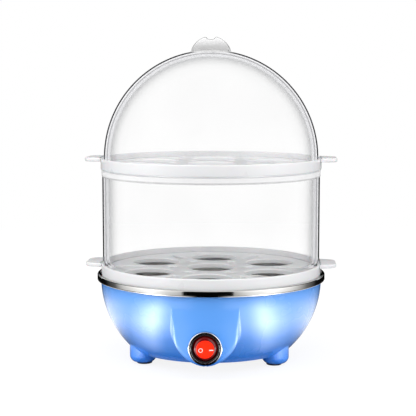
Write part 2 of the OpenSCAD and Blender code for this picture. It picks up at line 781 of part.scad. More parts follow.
// ---------------------------------------------------------------- steam ring and lid
// Clear cylinder with a narrower foot that stands inside the lower tray's rim
module steam_ring() {
    foot_h = tray_h - plate_top + slack;
    collar_h = 4;
    outer = [[dome_r, 0], [dome_r, foot_h], [ring_r, foot_h + 2], [ring_r, ring_h - collar_h - 0.2],
             [ring_r + 0.4, ring_h - collar_h], [ring_r + 0.4, ring_h]];
    inner = [[ring_r - 2.2, ring_h], [ring_r - 2.2, ring_h - collar_h], [ring_r - ring_wall, ring_h - 5],
             [ring_r - ring_wall, foot_h + 2.4], [dome_r - ring_wall, foot_h + 0.4], [dome_r - ring_wall, 0]];
    color("#f2f6f8", 0.35) translate([0, 0, ring_z]) rotate_extrude($fn = 128) polygon(concat(outer, inner));
}

// Clear dome with a hollow grip moulded across its crown
module lid() {
    grip_r = 14.8;
    grip_z = crown_z + grip_rise - grip_r;
    notch_r = 4.5;
    notch_lift = 2.1;
    grip_wall = 4.4;
    color("#f2f6f8", 0.35) difference() {
        union() {
            translate([0, 0, dome_z]) sphere(r = dome_r, $fn = 128);
            translate([0, 0, lid_z]) cylinder(r = dome_r, h = dome_z - lid_z, $fn = 128);
            translate([0, 0, grip_z]) rotate([90, 0, 0]) cylinder(r = grip_r, h = grip_t, center = true);
        }
        translate([0, 0, dome_z]) sphere(r = dome_r - dome_wall, $fn = 128);
        translate([0, 0, lid_z - 100]) cylinder(r = 100, h = 100);
        translate([0, 0, lid_z - 1]) cylinder(r = dome_r - dome_wall, h = dome_z - lid_z + 1, $fn = 128);
        // hollow of the grip, and the notch across its top
        translate([0, 0, grip_z]) rotate([90, 0, 0])
            cylinder(r = grip_r - grip_wall, h = grip_t - 2 * dome_wall, center = true);
        translate([0, 0, crown_z + grip_rise + notch_lift]) rotate([90, 0, 0])
            cylinder(r = notch_r, h = grip_t + 2, center = true);
        // steam vents behind the grip
        for (x = [-6, 0, 6]) translate([x, 13 - abs(x) / 4, crown_z - 8]) cylinder(d = 3, h = 12);
    }
}

base_shell();
bottom_cover();
cover_screws();
foot_front_left();
foot_front_right();
foot_rear();
foot_pads();
foot_screws();
cord_gland();
gland_nut();
terminal_block();
block_clamps();
block_screw();
heating_dish();
dish_gasket();
dish_studs();
dish_washers();
dish_nuts();
heater_core();
heater_case();
heater_insulation();
heater_clamp();
clamp_nuts();
earth_tag();
thermostat_cap();
thermostat_body();
thermostat_bracket();
thermostat_screws();
thermostat_tabs();
thermostat_connectors();
thermal_fuse();
fuse_sleeve();
switch_body();
switch_bezel();
switch_terminals();
switch_connectors();
switch_lamp();
rocker();
rocker_plunger();
rocker_spring();
contact_blade();
live_wire();
switched_wire();
heater_wire();
fuse_wire();
neutral_wire();
lamp_wire();
earth_wire();
lower_tray();
steam_ring();
upper_tray();
lid();
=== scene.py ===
from math import asin, atan2, cos, hypot, pi, radians, sin, sqrt, tau

import bmesh
import bpy
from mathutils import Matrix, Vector
from mathutils.geometry import delaunay_2d_cdt


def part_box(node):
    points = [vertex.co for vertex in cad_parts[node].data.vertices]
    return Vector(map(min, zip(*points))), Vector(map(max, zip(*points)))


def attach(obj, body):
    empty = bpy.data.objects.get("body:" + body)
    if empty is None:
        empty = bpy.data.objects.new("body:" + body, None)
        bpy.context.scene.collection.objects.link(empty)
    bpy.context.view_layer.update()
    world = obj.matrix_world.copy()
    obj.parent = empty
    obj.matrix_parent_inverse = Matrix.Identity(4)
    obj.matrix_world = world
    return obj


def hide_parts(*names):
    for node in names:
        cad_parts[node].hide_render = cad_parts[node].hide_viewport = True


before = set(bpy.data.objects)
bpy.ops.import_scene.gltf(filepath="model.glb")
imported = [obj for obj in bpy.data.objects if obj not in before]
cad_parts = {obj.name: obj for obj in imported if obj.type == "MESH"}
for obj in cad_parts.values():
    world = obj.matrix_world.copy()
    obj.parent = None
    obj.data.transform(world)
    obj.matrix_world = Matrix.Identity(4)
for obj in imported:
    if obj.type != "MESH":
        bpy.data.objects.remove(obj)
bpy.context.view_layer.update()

mm = 0.001                              # lengths below are in millimetres unless they say otherwise

# ---------------------------------------------------------------- studio
# A long lens looks a little down on the cooker from just right of straight ahead. The room is a
# white cove with three softboxes, and a tent of lit cloth, seen only in reflections, gives the
# polished steel its bright and dark edges.
look_turn = radians(3.0)
look_down = radians(6.21)
look_far, look_high, look_side = 860.9, 201.5, -2.2

studio = bpy.context.scene
studio.view_settings.view_transform = "Standard"
lens = bpy.data.cameras.new("camera")
lens.lens, lens.sensor_width = 103.9, 36.0
camera = bpy.data.objects.new("camera", lens)
camera.location = (
    (look_far * sin(look_turn) + look_side * cos(look_turn)) * mm,
    (look_side * sin(look_turn) - look_far * cos(look_turn)) * mm,
    look_high * mm,
)
camera.rotation_euler = (pi / 2 - look_down, 0, look_turn)
studio.collection.objects.link(camera)
studio.camera = camera


def softbox(name, azimuth, elevation, far, wide, tall, watts):
    """A soft rectangular light on a stand, sized in metres and turned to face the cooker's middle."""
    light = bpy.data.lights.new(name, "AREA")
    light.shape, light.size, light.size_y, light.energy = "RECTANGLE", wide, tall, watts
    lamp = bpy.data.objects.new(name, light)
    out = Vector((sin(azimuth) * cos(elevation), -cos(azimuth) * cos(elevation), sin(elevation)))
    lamp.location = out * far + Vector((0, 0, 0.11))
    lamp.rotation_euler = out.to_track_quat("Z", "Y").to_euler()
    lamp.visible_glossy = False         # the tent below gives the reflections
    studio.collection.objects.link(lamp)


softbox("left_softbox", radians(-64), radians(22), 0.9, 0.4, 0.8, 3.3)
softbox("right_softbox", radians(68), radians(22), 0.9, 0.4, 0.8, 3.2)
softbox("top_softbox", radians(-12), radians(60), 1.2, 1.0, 0.8, 4.6)


def new_nodes(tree, family, *kinds):
    """New nodes of one family, Shader or Geometry, one of each kind named."""
    return [tree.nodes.new(family + "Node" + kind) for kind in kinds]


def wire_up(tree, pairs):
    """Links sockets given as (from node, output, to node, input)."""
    for source, output, target, entry in pairs:
        tree.links.new(source.outputs[output], target.inputs[entry])


def ramp_of(tree, stops, smooth="LINEAR"):
    """A colour ramp with stops of (place, brightness or colour)."""
    node = tree.nodes.new("ShaderNodeValToRGB")
    node.color_ramp.interpolation = smooth
    while len(node.color_ramp.elements) < len(stops):
        node.color_ramp.elements.new(0.5)
    for element, (place, shade) in zip(node.color_ramp.elements, stops):
        element.position = place
        element.color = (*shade, 1) if isinstance(shade, tuple) else (shade, shade, shade, 1)
    return node


def maths(tree, kind, *numbers, clamp=False):
    """A Math node with some of its inputs set."""
    node = tree.nodes.new("ShaderNodeMath")
    node.operation, node.use_clamp = kind, clamp
    for entry, number in enumerate(numbers):
        if number is not None:
            node.inputs[entry].default_value = number
    return node


room = bpy.data.worlds.new("white_cove")
room.use_nodes = True
studio.world = room
air = room.node_tree
air.nodes.clear()
facing, parts, sky, white, path, blend, result = new_nodes(
    air, "Shader", "TexCoord", "SeparateXYZ", "Background", "Background", "LightPath", "MixShader",
    "OutputWorld")
height = maths(air, "MULTIPLY_ADD", None, 0.3, 0.86)     # the cove is a little brighter overhead
white.inputs["Color"].default_value = (1, 1, 1, 1)
wire_up(air, [
    (facing, "Generated", parts, 0), (parts, "Z", height, 0), (height, 0, sky, "Strength"),
    (path, "Is Camera Ray", blend, 0), (sky, 0, blend, 1), (white, 0, blend, 2), (blend, 0, result, 0),
])


def glow_cloth(name, gain, by_bearing, outward):
    """Lit cloth of the tent, graded by bearing (degrees right of the front) and distance (metres)."""
    cloth = bpy.data.materials.new(name)
    cloth.use_nodes = True
    weave = cloth.node_tree
    weave.nodes.clear()
    spot, parts, far, glow, result = new_nodes(
        weave, "Shader", "TexCoord", "SeparateXYZ", "VectorMath", "Emission", "OutputMaterial")
    far.operation = "LENGTH"
    back = maths(weave, "MULTIPLY", None, -1)
    bearing = maths(weave, "ARCTAN2")
    share = maths(weave, "MULTIPLY_ADD", None, 0.5 / pi, 0.5)
    panels = ramp_of(weave, [(0.5 + turn / 360, shade) for turn, shade in by_bearing])
    fall = ramp_of(weave, outward)
    shine = maths(weave, "MULTIPLY")
    amount = maths(weave, "MULTIPLY", None, gain)
    wire_up(weave, [
        (spot, "Object", parts, 0), (parts, "Y", back, 0), (parts, "X", bearing, 0), (back, 0, bearing, 1),
        (bearing, 0, share, 0), (share, 0, panels, "Fac"), (spot, "Object", far, 0),
        (far, "Value", fall, "Fac"), (panels, "Color", shine, 0), (fall, "Color", shine, 1),
        (shine, 0, amount, 0), (amount, 0, glow, "Strength"), (glow, 0, result, 0)])
    return cloth


# the tent's floor ring and its wall, in metres
tent_r, tent_low, tent_high, tent_steps = 0.30, 0.0005, 0.46, 96
tent_mesh = bpy.data.meshes.new("light_tent")
tent_turns = [tau * k / tent_steps for k in range(tent_steps)]
tent_rings = [(0.058, tent_low), (tent_r, tent_low), (tent_r, tent_high)]
tent_mesh.from_pydata(
    [(far * sin(t), -far * cos(t), z) for far, z in tent_rings for t in tent_turns], [],
    [(tent_steps * row + k, tent_steps * row + (k + 1) % tent_steps,
      tent_steps * (row + 1) + (k + 1) % tent_steps, tent_steps * (row + 1) + k)
     for row in range(2) for k in range(tent_steps)])
tent_mesh.materials.append(glow_cloth(
    "tent_floor_cloth", 11.0,
    [(-180, 0), (-150, 0.01), (-122, 0.12), (-95, 0.14), (-72, 0.14), (-60, 0.35), (-44, 1.0), (-32, 0.3),
     (-18, 0.2), (-9, 0), (9, 0), (18, 0.2), (32, 0.3), (46, 1.0), (62, 0.38), (75, 0.18), (98, 0.15),
     (125, 0.1), (150, 0.01), (180, 0)],
    [(0.060, 0.0), (0.078, 0.22), (0.095, 0.62), (0.115, 1.0), (0.165, 0.95), (0.22, 0.4), (0.29, 0.1)]))
tent_mesh.materials.append(glow_cloth(
    "tent_wall_cloth", 1.35,
    [(-180, 0), (-113, 0.003), (-95, 0.08), (-82, 0.5), (-50, 1.0), (-34, 0.6), (-22, 0.42), (-20.5, 0),
     (21, 0), (22.5, 0.33), (36, 0.7), (58, 1.0), (76, 0.7), (100, 0.12), (118, 0.004), (180, 0)],
    [(0.3, 0.95), (0.303, 1.3), (0.34, 1.5), (0.42, 1.0), (0.55, 0.85)]))
for k, face in enumerate(tent_mesh.polygons):
    face.material_index = k // tent_steps
tent = bpy.data.objects.new("light_tent", tent_mesh)
tent.visible_camera = tent.visible_diffuse = tent.visible_shadow = tent.visible_transmission = False
studio.collection.objects.link(tent)


def new_material(name, metallic=0.0):
    """A new material, with its node tree and its shader."""
    material = bpy.data.materials.new(name)
    material.use_nodes = True
    skin = material.node_tree.nodes["Principled BSDF"]
    skin.inputs["Metallic"].default_value = metallic
    return material, material.node_tree, skin


def noise_of(tree, scale, detail=2.0):
    """A noise pattern with a scale per metre."""
    node = tree.nodes.new("ShaderNodeTexNoise")
    node.inputs["Scale"].default_value, node.inputs["Detail"].default_value = scale, detail
    return node


def bump_of(tree, strength, relief):
    """A Bump node whose relief is in millimetres."""
    node = tree.nodes.new("ShaderNodeBump")
    node.inputs["Strength"].default_value, node.inputs["Distance"].default_value = strength, relief * mm
    return node


def finish(name, colour, roughness, shade, patch, grain, relief, metallic=0.0, **sockets):
    """A moulded or painted surface: patches of shifting shade and gloss, and a fine grain in relief.

    Patch and grain are counted per metre, and relief is in millimetres.
    """
    material, tree, skin = new_material(name, metallic)
    for socket, number in sockets.items():
        skin.inputs[socket.replace("_", " ")].default_value = number
    where = tree.nodes.new("ShaderNodeTexCoord")
    cloud, fine = noise_of(tree, patch, 3.0), noise_of(tree, grain)
    dark, light = [tuple(min(1.0, c * (1 + shift)) for c in colour) for shift in (-shade, shade)]
    tint = ramp_of(tree, [(0.25, dark), (0.75, light)], "EASE")
    gloss = ramp_of(tree, [(0.2, roughness * 0.9), (0.8, min(1.0, roughness * 1.12))], "EASE")
    bump = bump_of(tree, 0.5, relief)
    wire_up(tree, [
        (where, "Object", cloud, "Vector"), (where, "Object", fine, "Vector"),
        (cloud, "Fac", tint, "Fac"), (tint, "Color", skin, "Base Color"),
        (cloud, "Fac", gloss, "Fac"), (gloss, "Color", skin, "Roughness"),
        (fine, "Fac", bump, "Height"), (bump, "Normal", skin, "Normal"),
    ])
    return material


floor_white = finish("floor_white", (0.5, 0.5, 0.51), 0.9, shade=0.01, patch=3.0, grain=60.0, relief=0.02,
                     Specular_IOR_Level=0.0)
# the floor is lit like anything else, but the camera sees it nearer to even white
cove = floor_white.node_tree
spot, spread, path, paper, blend = new_nodes(
    cove, "Shader", "TexCoord", "VectorMath", "LightPath", "Emission", "MixShader")
spread.operation = "LENGTH"
lift = ramp_of(cove, [(0.0, 0.72), (0.16, 0.74), (0.5, 0.9), (0.8, 1.0)])
even = maths(cove, "MULTIPLY_ADD", None, -0.75, 1.75)
seen = maths(cove, "MULTIPLY")
wire_up(cove, [(spot, "Object", spread, 0), (spread, "Value", lift, "Fac"), (lift, "Color", seen, 0),
               (path, "Is Camera Ray", seen, 1), (seen, 0, blend, 0),
               (cove.nodes["Principled BSDF"], 0, blend, 1),
               (lift, "Color", even, 0), (even, 0, paper, "Strength"),
               (paper, 0, blend, 2), (blend, 0, cove.nodes["Material Output"], 0)])
floor_mesh = bpy.data.meshes.new("floor")
floor_half = 4.0                        # metres
floor_mesh.from_pydata([(x * floor_half, y * floor_half, 0) for x, y in ((-1, -1), (1, -1), (1, 1), (-1, 1))],
                       [], [(0, 1, 2, 3)])
floor_mesh.materials.append(floor_white)
floor = bpy.data.objects.new("floor", floor_mesh)
studio.collection.objects.link(floor)

# ---------------------------------------------------------------- base shell
# One blue moulding, injection moulded in glossy ABS with a 2 mm wall: a bowl, and a tongue on
# its front that carries the girth straight down to the switch. The bottom is stepped for a cover.
girth_r, shell_top, shell_foot = 79.4, 57.5, 7.5
flank_r = 68.0                          # radius of the bowl's curved side
wall = 2.0
tongue_half, tongue_z = 22.5, 32.7      # half width, and centre of the round end
tongue_r = girth_r - 0.6
edge_r, root_r = 2.4, 1.6               # rounding of the tongue's edge and of its root
front_half = 36.0                       # the front patch runs this far to each side
seat_y, seat_r, switch_hole_r = -78.1, 11.6, 10.1
switch_z = sum(corner.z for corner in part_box("switch_bezel")) / 2 / mm

blue_abs = finish("glossy_blue_abs", (0.122, 0.395, 1.0), 0.26, shade=0.012, patch=22.0, grain=1400.0,
                  relief=0.01, Coat_Weight=1.0, Coat_Roughness=0.16)
# painted shade: the blue is painted darker towards the foot, over the lowest 37 mm
shaded_blue_tree = blue_abs.node_tree
depth_place, depth_parts, painted_shade_blue = new_nodes(shaded_blue_tree, "Shader", "TexCoord", "SeparateXYZ", "VectorMath")
painted_shade_blue.operation = "MULTIPLY"
depth = maths(shaded_blue_tree, "MULTIPLY", None, 20.0)
painted_shade_ramp = ramp_of(shaded_blue_tree, [(0.1, (0.34, 0.74, 1.0)), (0.45, (0.6, 0.87, 1.0)), (0.75, 1.0)], "EASE")
blue_skin = shaded_blue_tree.nodes["Principled BSDF"]
plain_blue = blue_skin.inputs["Base Color"].links[0].from_node
wire_up(shaded_blue_tree, [
    (depth_place, "Object", depth_parts, 0), (depth_parts, "Z", depth, 0), (depth, 0, painted_shade_ramp, "Fac"),
    (plain_blue, "Color", painted_shade_blue, 0), (painted_shade_ramp, "Color", painted_shade_blue, 1), (painted_shade_blue, 0, blue_skin, "Base Color")])


def flank(z):
    """Radius of the bowl at a height."""
    return girth_r - flank_r + sqrt(flank_r ** 2 - (shell_top + 0.5 - z) ** 2)


def inside_tongue(x, z):
    """Distance inside the tongue's U-shaped outline, negative outside it."""
    return tongue_half - (abs(x) if z > tongue_z else hypot(x, z - tongue_z))


def front(x, z):
    """How far the front surface stands out at a place on the front."""
    bowl = sqrt(flank(z) ** 2 - x * x)
    tongue = sqrt(max(tongue_r ** 2 - x * x, 1.0))
    if hypot(x, z - switch_z) < seat_r:
        tongue = min(tongue, -seat_y)
    proud, inset = tongue - bowl, inside_tongue(x, z)
    if proud <= 0:
        return bowl
    edge, root = min(edge_r, 0.55 * proud), min(root_r, 0.4 * proud)
    if inset >= edge:
        return tongue
    if inset >= 0:
        return tongue - edge + sqrt(edge ** 2 - (edge - inset) ** 2)
    if inset > -root:
        return bowl + root - sqrt(root ** 2 - (root + inset) ** 2)
    return bowl


def merged_mesh(name, points, faces, turned_out=True, sharp=33.0):
    """A smooth mesh from points in millimetres, with equal points merged and its faces turned outwards."""
    model = bmesh.new()
    corners = [model.verts.new((x * mm, y * mm, z * mm)) for x, y, z in points]
    for face in faces:
        ids = list(dict.fromkeys(face))
        if len(ids) > 2:
            model.faces.new([corners[i] for i in ids])
    bmesh.ops.remove_doubles(model, verts=model.verts, dist=4e-7)
    bmesh.ops.dissolve_degenerate(model, edges=model.edges, dist=1e-8)
    if turned_out:
        bmesh.ops.recalc_face_normals(model, faces=model.faces)
    mesh = bpy.data.meshes.new(name)
    model.to_mesh(mesh)
    model.free()
    mesh.shade_smooth()
    mesh.set_sharp_from_angle(angle=radians(sharp))
    return mesh


def piece(name, mesh, material, body, slot, *nodes):
    """Puts a finished mesh in the scene, on its body, with its finish, in place of its CAD nodes."""
    mesh.materials.clear()
    mesh.materials.append(material)
    thing = bpy.data.objects.new(name, mesh)
    studio.collection.objects.link(thing)
    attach(thing, body)
    if nodes:
        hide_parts(*nodes)
    return thing


def moulding(name, shape, material, body, slot, *nodes, **how):
    """A piece whose mesh comes from its points and faces."""
    return piece(name, merged_mesh(name, *shape, **how), material, body, slot, *nodes)


def circle(r, steps, x=0.0, y=0.0, turn=0.0):
    """Points round a circle."""
    return [(x + r * cos(turn + tau * i / steps), y + r * sin(turn + tau * i / steps)) for i in range(steps)]


def flat_sheet(loops, lines, dots, keep):
    """Triangles over closed loops, open lines and single dots in a plane, where keep says so."""
    spots, edges = [], []
    for loop, shut in [(loop, True) for loop in loops] + [(line, False) for line in lines]:
        first = len(spots)
        spots += [Vector(p) for p in loop]
        edges += [(first + i, first + i + 1) for i in range(len(loop) - 1)]
        if shut:
            edges.append((len(spots) - 1, first))
    spots += [Vector(p) for p in dots]
    found, _, triangles, *_ = delaunay_2d_cdt(spots, edges, [], 0, 1e-5, False)
    kept = []
    for corners in triangles:
        middle = sum((found[i] for i in corners), Vector((0, 0))) / len(corners)
        if keep(middle.x, middle.y):
            kept.append(tuple(corners))
    return [tuple(p) for p in found], kept


shell_rows = [shell_foot + (shell_top - shell_foot) * i / 26 for i in range(27)]
across = [front_half * i / 16 for i in range(-16, 17)]


def tongue_line(inset):
    """The tongue's outline, drawn in by inset, from its top left round its foot to its top right."""
    half = tongue_half - inset
    sides = [shell_top - (shell_top - tongue_z) * i / 14 for i in range(14)]
    turn = [(half * cos(a), tongue_z + half * sin(a)) for a in (pi + pi * i / 60 for i in range(61))]
    return [(-half, z) for z in sides] + turn + [(half, z) for z in reversed(sides)]


tongue_insets = (-2.4, -root_r, -1.2, -0.75, -0.35, -0.12, -0.02, 0.02, 0.1, 0.3, 0.65, 1.1, 1.65, edge_r, 3.2)
seat_rings = [circle(r, 72, 0, switch_z) for r in (switch_hole_r, seat_r - 0.02, seat_r + 0.02, 13.0)]
bottom_row = [(x, shell_foot) for x in across]
top_row = [(x, shell_top) for x in across
           if min(abs(abs(x) - (tongue_half - inset)) for inset in tongue_insets) > 0.3]
side_rows = [(side * front_half, z) for side in (-1, 1) for z in shell_rows]
loose = [(x, z) for x in across for z in shell_rows[1:-1]
         if not -4.0 < inside_tongue(x, z) < 4.8 and hypot(x, z - switch_z) > 14.5]
flat, triangles = flat_sheet(seat_rings, [tongue_line(inset) for inset in tongue_insets],
                             bottom_row + top_row + side_rows + loose,
                             lambda x, z: hypot(x, z - switch_z) > switch_hole_r)
front_patch = [(x, -front(x, z), z) for x, z in flat], triangles


def rows_of(rows, closed=True):
    """Points and faces of a skin over rows of points. Closed rows join end to end."""
    width = len(rows[0])
    faces = []
    for j in range(len(rows) - 1):
        for i in range(width if closed else width - 1):
            a, b = j * width + i, j * width + (i + 1) % width
            faces.append((a, b, b + width, a + width))
    return [point for row in rows for point in row], faces


def joined(*shapes):
    """Points and faces of several shapes as one."""
    points, faces = [], []
    for more, more_faces in shapes:
        faces += [tuple(len(points) + i for i in face) for face in more_faces]
        points += more
    return points, faces


side_steps = 132
sides = []
for z in shell_rows:
    start = asin(front_half / flank(z))
    turns = [start + (tau - 2 * start) * i / side_steps for i in range(side_steps + 1)]
    sides.append([(flank(z) * sin(t), -flank(z) * cos(t), z) for t in turns])

foot_edge = flank(shell_foot)
start = asin(front_half / foot_edge)
foot_turns = [asin(x / foot_edge) for x in across]
foot_turns += [start + (tau - 2 * start) * i / side_steps for i in range(1, side_steps)]
cover_r, cover_t, opening_r = 43.0, 2.0, 37.0
under = [(foot_edge, shell_foot), (50, shell_foot), (cover_r + 0.8, shell_foot),
         (cover_r + 0.35, shell_foot + 0.4), (cover_r + 0.3, shell_foot + cover_t),
         (opening_r, shell_foot + cover_t)]
under_rows = [[(r * sin(t), -r * cos(t), z) for t in foot_turns] for r, z in under]
shell_shape = joined(front_patch, rows_of(sides, closed=False), rows_of(under_rows))
base_shell = moulding("base_shell_moulding", shell_shape, blue_abs, "base", "shell_blue", "base_shell")
thick = base_shell.modifiers.new("wall", "SOLIDIFY")
thick.thickness, thick.offset, thick.use_even_offset = wall * mm, -1, True


def outline(*corners, steps=5):
    """A closed outline of (across, up, corner radius), each corner rounded by an arc."""
    spots = []
    for i, (u, v, radius) in enumerate(corners):
        here = Vector((u, v))
        to_last = Vector(corners[i - 1][:2]) - here
        to_next = Vector(corners[(i + 1) % len(corners)][:2]) - here
        half = to_last.angle(to_next) / 2
        if radius == 0 or half > 1.55:
            spots.append((u, v))
            continue
        reach = min(radius / sin(half) * cos(half), 0.48 * to_last.length, 0.48 * to_next.length)
        radius = reach * sin(half) / cos(half)
        middle = here + (to_last.normalized() + to_next.normalized()).normalized() * radius / sin(half)
        begin = here + to_last.normalized() * reach - middle
        end = here + to_next.normalized() * reach - middle
        bearing_from = atan2(begin.y, begin.x)
        sweep = (atan2(end.y, end.x) - bearing_from + pi) % tau - pi
        for k in range(steps + 1):
            bearing_now = bearing_from + sweep * k / steps
            spots.append((middle.x + radius * cos(bearing_now), middle.y + radius * sin(bearing_now)))
    return spots


def turned(profile, steps=160):
    """Points and faces of a closed outline of (radius, height) turned round the upright axis."""
    turns = [tau * i / steps for i in range(steps)]
    rows = [[(r * sin(t), -r * cos(t), z) for t in turns] for r, z in profile]
    return rows_of(rows + [rows[0]])


def capped(rows):
    """Points and faces of a solid made of rings of points, with its first and last ring filled."""
    points, faces = rows_of(rows)
    width = len(rows[0])
    return points, faces + [tuple(range(width)), tuple(range(len(points) - width, len(points)))]


# boss for the cord's gland, and its fillet into the bowl
gland_z, boss_r, boss_y, boss_bore, boss_root, boss_fillet = 25.0, 8.5, 74.6, 5.1, 60, 1.6
boss_rows = []
for r, y in ((boss_bore, boss_root), (boss_bore, boss_y), (boss_r - 1.2, boss_y),
             (boss_r - 0.5, boss_y - 0.25), (boss_r, boss_y - 1.2)):
    boss_rows.append([(x, y, z + gland_z) for x, z in circle(r, 48)])
for k in range(6):
    lean = pi / 2 * k / 5
    rise = boss_fillet * (1 - sin(lean)) - 0.15
    boss_rows.append([(x, sqrt(flank(z + gland_z) ** 2 - x * x) + rise, z + gland_z)
                      for x, z in circle(boss_r + boss_fillet * (1 - cos(lean)), 48)])
boss_rows.append([(x, boss_root, z + gland_z) for x, z in circle(boss_r, 48)])
moulding("gland_boss", rows_of(boss_rows + [boss_rows[0]]), blue_abs, "base", "shell_blue")

# ---------------------------------------------------------------- feet
# Three blue nubs moulded apart, sunk into the bowl's underside and screwed up from below. Each
# has a dark rubber pad let into its sole, which hides the screw.
foot_ring_r, foot_r, foot_corner = 54.0, 9.5, 5.0
pad_r, pad_ring_r, recess_z, foot_fillet = 5.5, 53.0, 2.05, 0.9


def bowl_under(x, y):
    """Height of the bowl's outer surface over a place on the worktop."""
    r = hypot(x, y)
    return shell_foot if r < foot_edge else shell_top + 0.5 - sqrt(flank_r ** 2 - (r - girth_r + flank_r) ** 2)


def foot_ring(r, z, middle=foot_ring_r):
    """One level ring of a foot that stands on the +X side."""
    return [(x, y, z) for x, y in circle(r, 56, middle)]


foot_rows = [foot_ring(0.01, recess_z, pad_ring_r), foot_ring(pad_r + 0.1, recess_z, pad_ring_r),
             foot_ring(pad_r + 0.15, 1.5, pad_ring_r), foot_ring(pad_r + 0.35, 1.35, pad_ring_r)]
for k in range(9):
    lean = pi / 6 + pi / 3 * k / 8
    foot_rows.append(foot_ring(foot_r - foot_corner * (1 - sin(lean)), 1 + foot_corner * (1 - cos(lean))))
foot_rows.append([(x, y, max(6.2, bowl_under(x, y) - foot_fillet)) for x, y, _ in foot_ring(foot_r, 0)])
for k in range(1, 5):
    lean = pi / 2 * k / 4
    foot_rows.append([(x, y, max(6.4, bowl_under(x, y) - foot_fillet + foot_fillet * sin(lean)))
                      for x, y, _ in foot_ring(foot_r + foot_fillet * (1 - cos(lean)), 0)])
foot_rows.append([(x, y, bowl_under(x, y) + 1.2) for x, y, _ in foot_ring(foot_r, 0)])


def loose_object(name, shape):
    """An object kept out of the scene, for a node tree or a cut to use."""
    return bpy.data.objects.new(name, merged_mesh(name, *shape))


one_foot = loose_object("one_foot", capped(foot_rows))


def node_tree(name, *entries):
    """A Geometry Nodes tree with named inputs, given as (name, kind), and one for its finish."""
    tree = bpy.data.node_groups.new(name, "GeometryNodeTree")
    for entry, kind in (*entries, ("Finish", "Material")):
        tree.interface.new_socket(entry, in_out="INPUT", socket_type="NodeSocket" + kind)
    tree.interface.new_socket("Geometry", in_out="OUTPUT", socket_type="NodeSocketGeometry")
    return tree, tree.nodes.new("NodeGroupInput"), tree.nodes.new("NodeGroupOutput")


def end_tree(tree, shape, entry, out):
    """Ends a tree in real geometry with its finish on it."""
    real, coat = new_nodes(tree, "Geometry", "RealizeInstances", "SetMaterial")
    wire_up(tree, [(shape, 0, real, 0), (real, 0, coat, "Geometry"), (entry, "Finish", coat, "Material"),
                   (coat, 0, out, 0)])


def grown(name, tree, inputs, sharp=33.0):
    """The plain mesh that a Geometry Nodes tree makes from its named inputs."""
    seed = bpy.data.objects.new(name, bpy.data.meshes.new(name + "_seed"))
    studio.collection.objects.link(seed)
    maker = seed.modifiers.new("maker", "NODES")
    maker.node_group = tree
    for item in tree.interface.items_tree:
        if item.in_out == "INPUT" and item.name in inputs:
            maker[item.identifier] = inputs[item.name]
    seed.update_tag()
    shape = seed.evaluated_get(bpy.context.evaluated_depsgraph_get())
    mesh = bpy.data.meshes.new_from_object(shape)
    mesh.name = name
    bpy.data.objects.remove(seed)
    mesh.shade_smooth()
    mesh.set_sharp_from_angle(angle=radians(sharp))
    return mesh


round_axis, entry, out = node_tree(
    "round_the_axis", ("Piece", "Object"), ("Count", "Int"), ("First Angle", "Float"))
places, pattern, index, copies = new_nodes(
    round_axis, "Geometry", "Points", "ObjectInfo", "InputIndex", "InstanceOnPoints")
step = maths(round_axis, "DIVIDE", tau)
turn_by = maths(round_axis, "MULTIPLY_ADD")
spin = round_axis.nodes.new("ShaderNodeCombineXYZ")
wire_up(round_axis, [
    (entry, "Count", places, "Count"), (entry, "Piece", pattern, "Object"), (entry, "Count", step, 1),
    (index, 0, turn_by, 0), (step, 0, turn_by, 1), (entry, "First Angle", turn_by, 2), (turn_by, 0, spin, "Z"),
    (places, 0, copies, "Points"), (pattern, "Geometry", copies, "Instance"), (spin, 0, copies, "Rotation")])
end_tree(round_axis, copies, entry, out)


def round_set(name, pattern_piece, count, first, material, body, slot, *nodes):
    """A set of equal pieces spaced evenly round the cooker's axis."""
    mesh = grown(name, round_axis, {"Piece": pattern_piece, "Count": count, "First Angle": radians(first),
                                    "Finish": material})
    return piece(name, mesh, material, body, slot, *nodes)


round_set("feet", one_foot, 3, 90, blue_abs, "base", "shell_blue",
          "foot_front_left", "foot_front_right", "foot_rear")

rubber = finish("dark_rubber", (0.035, 0.05, 0.09), 0.75, shade=0.15, patch=120.0, grain=2500.0, relief=0.05)
pad_profile = outline((0, 0, 0), (pad_r, 0, 0.6), (pad_r, 2, 0), (0, 2, 0))


def moved(shape, place):
    """A shape's points and faces, with each point put where place says."""
    return [place(*point) for point in shape[0]], shape[1]


one_pad = loose_object("one_pad", moved(turned(pad_profile, 40), lambda x, y, z: (x + pad_ring_r, y, z)))
round_set("foot_pads_rubber", one_pad, 3, 90, rubber, "base", "foot_rubber", "foot_pads")


def screw(ring_r, z, shaft_d, length, head_d, head_h, name):
    """A pan-head screw pointing up with its head's underside at z, with a cross recess cut in its head."""
    shaft_r, head_r, cross, deep = shaft_d / 2, head_d / 2, head_d * 0.28, head_h * 0.55
    low = z - head_h
    rows = []
    for level, arm, waist in ((low + deep, 0.55, 0.5), (low, 1.0, 1.0)):
        ring = []
        for i in range(48):
            a = tau * i / 48
            near = abs((a + pi / 4) % (pi / 2) - pi / 4)
            reach = cross * arm if near < 0.3 else cross * 0.36 * waist
            ring.append((reach * cos(a), reach * sin(a), level))
        rows.append(ring)
    for r, level in ((head_r * 0.7, low + 0.02), (head_r * 0.92, low + head_h * 0.25),
                     (head_r, low + head_h * 0.6), (head_r, z), (shaft_r, z)):
        rows.append([(x, y, level) for x, y in circle(r, 48)])
    threads = int(length / 0.9)
    for k in range(threads):
        for part, depth in ((0.0, 0.86), (0.5, 1.0)):
            rows.append([(x, y, z + (k + part) * length / threads) for x, y in circle(shaft_r * depth, 48)])
    rows.append([(x, y, z + length) for x, y in circle(shaft_r * 0.5, 48)])
    return loose_object(name, moved(capped(rows), lambda x, y, h: (x + ring_r, y, h)))


zinc = finish("zinc_plated_steel", (0.62, 0.63, 0.62), 0.32, shade=0.12, patch=180.0, grain=2600.0,
              relief=0.01, metallic=1.0)
round_set("foot_screws_zinc", screw(pad_ring_r, 3.4, 2.9, 10, 5, 1.2, "one_foot_screw"), 3, 90, zinc,
          "base", "zinc_steel", "foot_screws")

